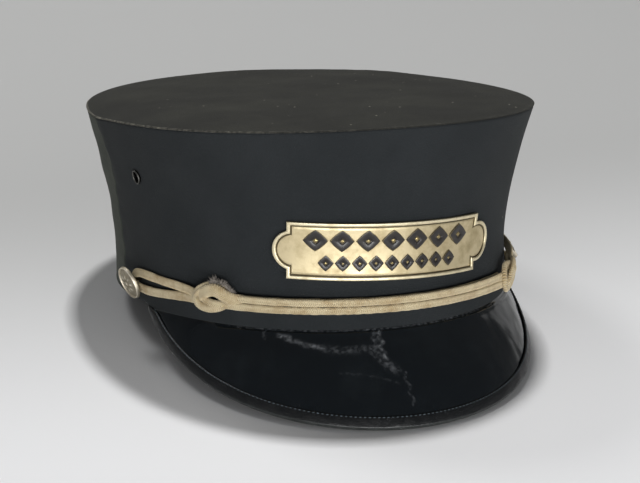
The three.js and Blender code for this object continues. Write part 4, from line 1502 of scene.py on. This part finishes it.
@dataclass
class ChinCord(CapPart):
    """The flat chin cord: strands between the knots, bights round the shanks, and the two sliding knots."""

    def strand(self, route: Sequence[Sequence[float]], count: int, width: float, thickness: float,
               closed: bool = False, lay: Sequence[float] | None = None) -> MeshParts:
        """A flat cord along a route on the wall, with a groove down the middle of both faces.

        The section is an oval, width across and thickness deep, whose depth is pinched by a bell curve
        round its middle. It turns with the wall.

        Args:
            route: Angle, height and distance off the wall, as rows.
            count: The number of sections.
            width: The cord's width.
            thickness: The cord's thickness.
            closed: Whether the route closes on itself.
            lay: The section's lean in degrees at each row of the route.

        Returns:
            The closed strand.
        """
        route = np.asarray(route, float)
        lean = np.zeros(len(route)) if lay is None else np.asarray(lay, float)
        samples = smooth_path(np.column_stack([route, lean]), count, closed)
        angle, height, out = samples[:, 0], samples[:, 1], samples[:, 2]
        centre = self.oval.wall(angle, height, out)
        ahead = np.roll(centre, -1, 0) - np.roll(centre, 1, 0)
        if not closed:
            ahead[0], ahead[-1] = centre[1] - centre[0], centre[-1] - centre[-2]
        tangent = unit(ahead)
        outward = self.oval.directions(angle, height)[2]
        side = unit(np.cross(outward, tangent))
        face = np.cross(tangent, side)
        tip = np.radians(samples[:, 3])[:, None]
        side, face = side * np.cos(tip) + face * np.sin(tip), face * np.cos(tip) - side * np.sin(tip)
        sides = 28
        phi = np.radians(np.arange(sides) * 360 / sides)
        run = np.concatenate([[0], np.cumsum(np.linalg.norm(np.diff(centre, axis=0), axis=1))])
        x = np.sign(np.cos(phi)) * np.abs(np.cos(phi)) ** 0.9 * width / 2
        pinch = 1 - 0.34 * bell(x, 0, 0.16 * width)
        y = np.sin(phi) * pinch * thickness / 2
        slanted = run[:, None] + BraidedCord.slant * np.abs(x)[None]
        thread = 1 + 0.045 * np.sin(2 * np.pi * slanted / BraidedCord.pitch_mm)
        swell = 1 + 0.05 * waves(centre, 9, 61)[:, None]
        points = (centre[:, None] + (x[None] * thread * swell)[..., None] * side[:, None]
                  + (y[None] * thread * swell)[..., None] * face[:, None])
        around = np.append(x, x[0])
        uv_rows = np.append(run, run[-1] + 0.5) if closed else run
        uv = np.stack(np.broadcast_arrays(uv_rows[:, None], around[None]), -1)
        parts = MeshParts().grid(points, wrap_rows=closed, wrap_columns=True, uv=uv)
        if not closed:
            for row, back in ((0, -1), (-1, 1)):
                tip_point = centre[row] + back * tangent[row] * 0.25
                cap = np.stack([points[row], np.broadcast_to(tip_point, points[row].shape)])
                parts.grid(cap, wrap_columns=True)
        return parts

    def build_strands(self, braid: bpy.types.Material) -> None:
        """Builds the three strands that run between the knots, and the bights that go round the shanks.

        Each has its width, its thickness and its route. The right bight's upper strand stands on its edge.

        Args:
            braid: The cord's material.
        """
        strands = {
            "cord_front_upper": (3.15, 2.1, [
                [-46.0, 11.4, 3.3], [-44, 11.35, 3.5], [-34, 11.05, 3.3], [-12, 11.0, 3.3],
                [12, 10.8, 3.3], [30, 10.4, 3.3], [40, 9.9, 3.4], [44.4, 9.5, 3.7]]),
            "cord_front_lower": (3.15, 2.1, [
                [-52.2, 9.7, 3.9], [-50.4, 9.1, 4.9], [-48.2, 8.4, 5.0], [-46.0, 8.1, 4.5],
                [-44, 8.0, 3.8], [-34, 7.8, 3.3], [-12, 7.75, 3.3], [12, 7.5, 3.3],
                [30, 7.05, 3.3], [40, 6.5, 3.4], [44.4, 6.1, 3.7]]),
            "cord_front_inner": (3.6, 1.5, [
                [-46.5, 10.5, 1.6], [-44, 10.5, 1.2], [-34, 10.6, 1.1], [-12, 10.65, 1.1],
                [12, 10.35, 1.1], [30, 9.95, 1.1], [43.8, 9.3, 1.3]]),
            "cord_bight_left": (3.7, 2.1, [
                [-52.5, 11.0, 3.4], [-55.6, 11.3, 3.0], [-57.4, 11.75, 2.5], [-62.1, 12.3, 1.8],
                [-67.3, 12.55, 1.6], [-73.1, 12.95, 1.6], [-77.6, 12.9, 1.6], [-80.1, 12.1, 1.6],
                [-81.3, 10.4, 1.6], [-81.3, 8.8, 1.6], [-80.1, 7.1, 1.6], [-77.6, 6.4, 1.6],
                [-72.0, 6.5, 1.6], [-66.0, 7.3, 1.6], [-60.5, 8.1, 1.9], [-56.1, 8.4, 2.7],
                [-52.5, 8.6, 3.3]]),
            "cord_bight_right": (3.4, 2.1, [
                [50.5, 12.2, 4.0], [53.5, 13.0, 3.2], [58, 13.9, 2.3], [66, 14.3, 1.9],
                [74, 14.5, 1.6], [78.3, 14.4, 1.6], [80.7, 13.6, 1.6], [81.8, 12.1, 1.6],
                [81.8, 10.5, 1.6], [80.7, 8.9, 1.6], [78.3, 8.1, 1.6], [70, 7.8, 1.6],
                [60, 7.6, 1.8], [55.4, 7.0, 2.6], [51.5, 6.2, 3.4]]),
        }
        on_edge = [20, 45, 60, 50, 20] + [0] * 10
        for node, (width, thickness, route) in strands.items():
            lay = on_edge if node == "cord_bight_right" else None
            parts = self.strand(route, 520, width, thickness, lay=lay)
            self.add_piece(parts, f"{node}_braid", braid, Slot.CORD, node)

    def build_knot_left(self, braid: bpy.types.Material, fibre: bpy.types.Material) -> None:
        """Builds the left knot: a ring of cord over both strands, and a strand that arches inside it.

        Args:
            braid: The cord's material.
            fibre: The material of the cut end, which stands up frayed behind the arch.
        """
        ring = [[-45.0, 14.0, 2.6], [-47.3, 15.9, 3.4], [-50.2, 15.4, 4.3], [-52.8, 13.2, 4.7],
                [-53.9, 10.2, 4.8], [-52.9, 7.2, 4.9], [-50.2, 5.9, 4.9], [-47.9, 6.4, 4.6],
                [-46.0, 7.6, 3.5], [-44.6, 9.0, 2.4]]
        arch = [[-53.2, 9.6, 3.6], [-52.3, 11.0, 4.6], [-51.0, 12.5, 5.4], [-49.5, 13.8, 5.9],
                [-47.7, 14.4, 6.1], [-46.1, 13.5, 5.8], [-44.7, 12.0, 5.1], [-42.6, 10.6, 3.8],
                [-40.4, 10.1, 2.4]]
        parts = self.strand(ring, 200, 3.5, 2.6, lay=[0, 10, 25, 32, 34, 30, 22, 10, 0, 0])
        self.add_piece(parts, "knot_left_braid", braid, Slot.CORD, "knot_left")
        parts = self.strand(arch, 160, 5.3, 2.3, lay=[0, 0, -6, -8, -8, -8, -4, 0, 0])
        self.add_piece(parts, "knot_left_end", braid, Slot.CORD)
        self.build_fray(fibre)

    def build_knot_right(self, braid: bpy.types.Material) -> None:
        """Builds the right knot, which is drawn tight: an upright ring with a strand wrapped over it.

        Args:
            braid: The cord's material.
        """
        ring = [[46.4, 13.2, 3.8], [44.2, 11.9, 4.4], [43.2, 8.8, 4.9], [43.8, 5.4, 4.8], [46.2, 3.9, 4.4],
                [49.2, 5.4, 4.8], [50.4, 9.0, 5.4], [49.4, 12.4, 4.8]]
        wrap = [[44.8, 5.0, 4.8], [45.0, 6.8, 5.9], [45.8, 9.6, 6.6], [47.6, 12.2, 6.9], [50.0, 13.6, 5.8],
                [52.4, 13.4, 4.0]]
        parts = self.strand(ring, 220, 3.9, 2.6, closed=True, lay=[0, -10, -25, -25, 0, 0, 0, 0])
        self.add_piece(parts, "knot_right_braid", braid, Slot.CORD, "knot_right")
        self.add_piece(self.strand(wrap, 120, 4.3, 2.4), "knot_right_end", braid, Slot.CORD)

    def build_fray(self, fibre: bpy.types.Material, count: int = 420) -> None:
        """Builds the frayed cut end: many short tapering fibres along the arch's upper edge, matted together.

        Args:
            fibre: The fibres' material.
            count: How many fibres there are.
        """
        rng = np.random.default_rng(77)
        t = np.linspace(0, 1, 7)[None, :, None]
        border = [[-48.9, 16.6, 4.6], [-47.6, 17.2, 4.6], [-46.0, 16.9, 4.4], [-44.4, 15.4, 4.0],
                  [-43.2, 13.4, 3.6]]
        scale = self.oval.per_degree(-46)
        root = smooth_path(border, count) + rng.normal(0, [0.25, 0.35, 0.45], (count, 3))
        share = np.linspace(0, 1, count)
        heading = np.radians(98 - 74 * share + rng.normal(0, 20, count))
        tall = 1.1 + 2.3 * bell(share, 0.12, 0.1) + 0.9 * bell(share, 0.5, 0.12)
        length = (tall * rng.uniform(0.5, 1.1, count))[:, None]
        reach = np.stack([np.cos(heading), np.sin(heading), rng.normal(0, 0.25, count)], -1) * length
        curl = rng.normal(0, 0.3, (count, 3))
        line = reach[:, None] * t + curl[:, None] * t ** 2
        centre = self.oval.wall(root[:, :1] + line[..., 0] / scale, root[:, 1:2] + line[..., 1],
                                root[:, 2:] + line[..., 2])
        radius = rng.uniform(0.12, 0.26, (count, 1)) * (1 - 0.85 * t[0, :, 0] ** 1.6)
        tangent = unit(np.gradient(centre, axis=1))
        side = unit(np.cross(tangent, [0.3, 0.2, 0.9]))
        points = tube(centre, radius, side, np.cross(tangent, side), 5)
        points[:, 0] = centre[:, 0][:, None]
        points[:, -1] = centre[:, -1][:, None]
        parts = MeshParts()
        for strand_points in points:
            parts.grid(strand_points, wrap_columns=True)
        self.add_piece(parts, "knot_left_fray", fibre, Slot.CORD)


@dataclass(frozen=True)
class SoftBox:
    """A soft box: its place, what it points at, its width and height in metres, and its power in watts."""

    name: str
    place: tuple[float, float, float]
    aim: tuple[float, float, float]
    wide: float
    tall: float
    power: float


@dataclass
class Studio:
    """Camera, soft light and the paper that the cap rests on, whose colour carries a painted falloff of the
    light.

    The camera's place is given to the level cap: its azimuth, elevation and roll in degrees, its distance and
    what it aims past in millimetres, and its focal length in pixels of the frame.
    """

    placement: Placement
    azimuth: float = 19.773
    elevation: float = 12.004
    distance: float = 1194.3
    focal_pixels: float = 2681.3
    roll: float = -0.814
    aim_right: float = 5.29
    aim_up: float = 14.73
    frame_width: int = 640
    sensor_width: float = 36.0
    room_colour: str = "d9dbdd"
    room_strength: float = 0.16
    boxes: tuple[SoftBox, ...] = (
        SoftBox("overhead", (0.13, 0.46, 1.7), (0.0, 0.0, 0.05), 0.14, 0.14, 23.0),
        SoftBox("front_fill", (-0.3, -2.3, 0.22), (0.0, 0.0, 0.06), 2.6, 0.4, 43.0),
        SoftBox("back_fill", (-0.51, 0.96, 1.48), (0.0, 0.0, 0.04), 0.5, 0.5, 8.2),
        SoftBox("side_card", (1.44, 1.04, 0.37), (0.06, -0.07, 0.02), 0.73, 0.72, 0.65),
    )

    def build_camera(self) -> None:
        """Sets the camera up as it stood to the level cap, then leans it back with the cap."""
        a, e, r = (math.radians(v) for v in (self.azimuth, self.elevation, self.roll))
        back = np.array([-math.sin(a) * math.cos(e), -math.cos(a) * math.cos(e), math.sin(e)])
        right = np.array([math.cos(a), -math.sin(a), 0.0])
        up = np.cross(back, right)
        eye = right * self.aim_right + up * self.aim_up + back * self.distance
        right, up = right * math.cos(r) + up * math.sin(r), up * math.cos(r) - right * math.sin(r)
        turn = self.placement.turn()
        basis = Matrix(np.column_stack([turn @ right, turn @ up, turn @ back]).tolist()).to_4x4()
        basis.translation = Vector(self.placement.to_row(eye[None])[0])
        data = bpy.data.cameras.new("photo_camera")
        data.sensor_width = self.sensor_width
        data.lens = self.focal_pixels * data.sensor_width / self.frame_width
        data.clip_start, data.clip_end = 0.05, 20.0
        camera = bpy.data.objects.new("photo_camera", data)
        camera.matrix_world = basis
        bpy.context.scene.collection.objects.link(camera)
        bpy.context.scene.camera = camera

    def build_floor(self, paper: bpy.types.Material) -> None:
        """Builds the paper: level for 2.4 m round the cap, then rising with the square of the distance."""
        reach, rise, half, count = 2.4, 0.9, 3.4, 69
        x, y = np.meshgrid(np.linspace(-half, half, count), np.linspace(-half, half, count), indexing="ij")
        points = np.stack([x, y, rise * np.maximum(np.hypot(x, y) - reach, 0) ** 2], -1)
        rows, columns = points.shape[:2]
        i, j = np.meshgrid(np.arange(rows - 1), np.arange(columns - 1), indexing="ij")
        first = (i * columns + j).ravel()
        faces = np.stack([first, first + columns, first + columns + 1, first + 1], -1)
        mesh = bpy.data.meshes.new("studio_paper")
        mesh.from_pydata(points.reshape(-1, 3).tolist(), [], faces.tolist())
        mesh.polygons.foreach_set("use_smooth", np.ones(len(mesh.polygons), dtype=bool))
        mesh.materials.append(paper)
        floor = bpy.data.objects.new("studio_paper", mesh)
        bpy.context.scene.collection.objects.link(floor)

    def build_light(self) -> None:
        """Hangs the soft boxes and sets the room's even light."""
        for box in self.boxes:
            data = bpy.data.lights.new(box.name, "AREA")
            data.shape = "RECTANGLE"
            data.size, data.size_y = box.wide, box.tall
            data.energy = box.power
            light = bpy.data.objects.new(box.name, data)
            light.location = box.place
            light.rotation_euler = (Vector(box.aim) - Vector(box.place)).to_track_quat("-Z", "Y").to_euler()
            bpy.context.scene.collection.objects.link(light)
        world = bpy.data.worlds.new("studio_room")
        world.use_nodes = True
        background = world.node_tree.nodes["Background"]
        background.inputs["Color"].default_value = linear(self.room_colour)
        background.inputs["Strength"].default_value = self.room_strength
        bpy.context.scene.world = world
        bpy.context.scene.view_settings.view_transform = "Standard"
        bpy.context.scene.view_settings.look = "None"


def main() -> None:
    """Builds the cap piece by piece, then the camera, the light and the floor."""
    logging.basicConfig(level=logging.INFO, format="%(name)s: %(message)s")
    oval = HeadOval()
    top_height = CrownTop(oval, Placement(0.0, (0.0, 0.0, 0.0))).top_height()
    placement = Placement.from_frame(oval, top_height)
    top_cloth = Broadcloth("dark wool broadcloth of the top", "282826", "383833", "8a877b", lint=0.7,
                           sheen=0.05).make()
    wall_cloth = Broadcloth("black wool broadcloth of the wall", "26292b", "2f3234", "5f605c", lint=0.04,
                            sheen=0.05).make()
    back_cloth = Broadcloth("faded wool broadcloth of the back", "3c403b", "4a4e47", "6a6a62", lint=0.1,
                            sheen=0.08).make()
    seam_cloth = Broadcloth("rubbed broadcloth of the seam", "262624", "302f2c", "76736a", lint=0.0,
                            sheen=0.0).make()
    patent = PatentLeather().make()
    binding = EdgeBinding().make()
    thread = PlainThread("waxed grey thread", "59636a").make()
    brass = StampedBrass("lacquered brass plate", "efe4c4", "c6b68f", "9a8963", roughness=0.44).make()
    gilt = StampedBrass("worn gilt brass", "f6eedd", "d2c8b0", "a69c84", roughness=0.5, dark_mm=3.0).make()
    japan = StampedBrass("japanned iron", "6d6c68", "2c2c2c", "141414", roughness=0.42, dark_mm=2.0).make()
    enamel = DarkEnamel().make()
    braid = BraidedCord().make()
    fibre = PlainThread("grey frayed cotton", "8f8880").make()

    top = CrownTop(oval, placement)
    top.build(top_cloth)
    top.build_seam(seam_cloth)
    holes = (-Eyelet.side_angle, Eyelet.side_angle)
    WallPanel(oval, placement, "crown_front", -SIDE_SEAM, SIDE_SEAM, holes=holes).build(wall_cloth)
    WallPanel(oval, placement, "crown_back", SIDE_SEAM, 360 - SIDE_SEAM, columns=240).build(back_cloth)
    visor = Visor(oval, placement)
    visor.build(patent)
    visor.build_binding(binding)
    visor.build_stitches(thread)
    badge = BadgePlate(oval, placement)
    badge.build(brass)
    badge.build_lozenges(enamel)
    SideButton(oval, placement, "button_left", -78.9, 8.8, 6.3, -20, 1, -79.2, 9.7).build(gilt)
    SideButton(oval, placement, "button_right", 79.7, 10.45, 5.8, 33, -11, 79.7, 11.3).build(gilt)
    for name, angle in zip(("eyelet_left", "eyelet_right"), holes):
        Eyelet(oval, placement, name, angle).build(japan)
    cord = ChinCord(oval, placement)
    cord.build_strands(braid)
    cord.build_knot_left(braid, fibre)
    cord.build_knot_right(braid)

    studio = Studio(placement)
    studio.build_camera()
    studio.build_floor(StudioPaper().make())
    studio.build_light()


if __name__ == "__main__":
    main()
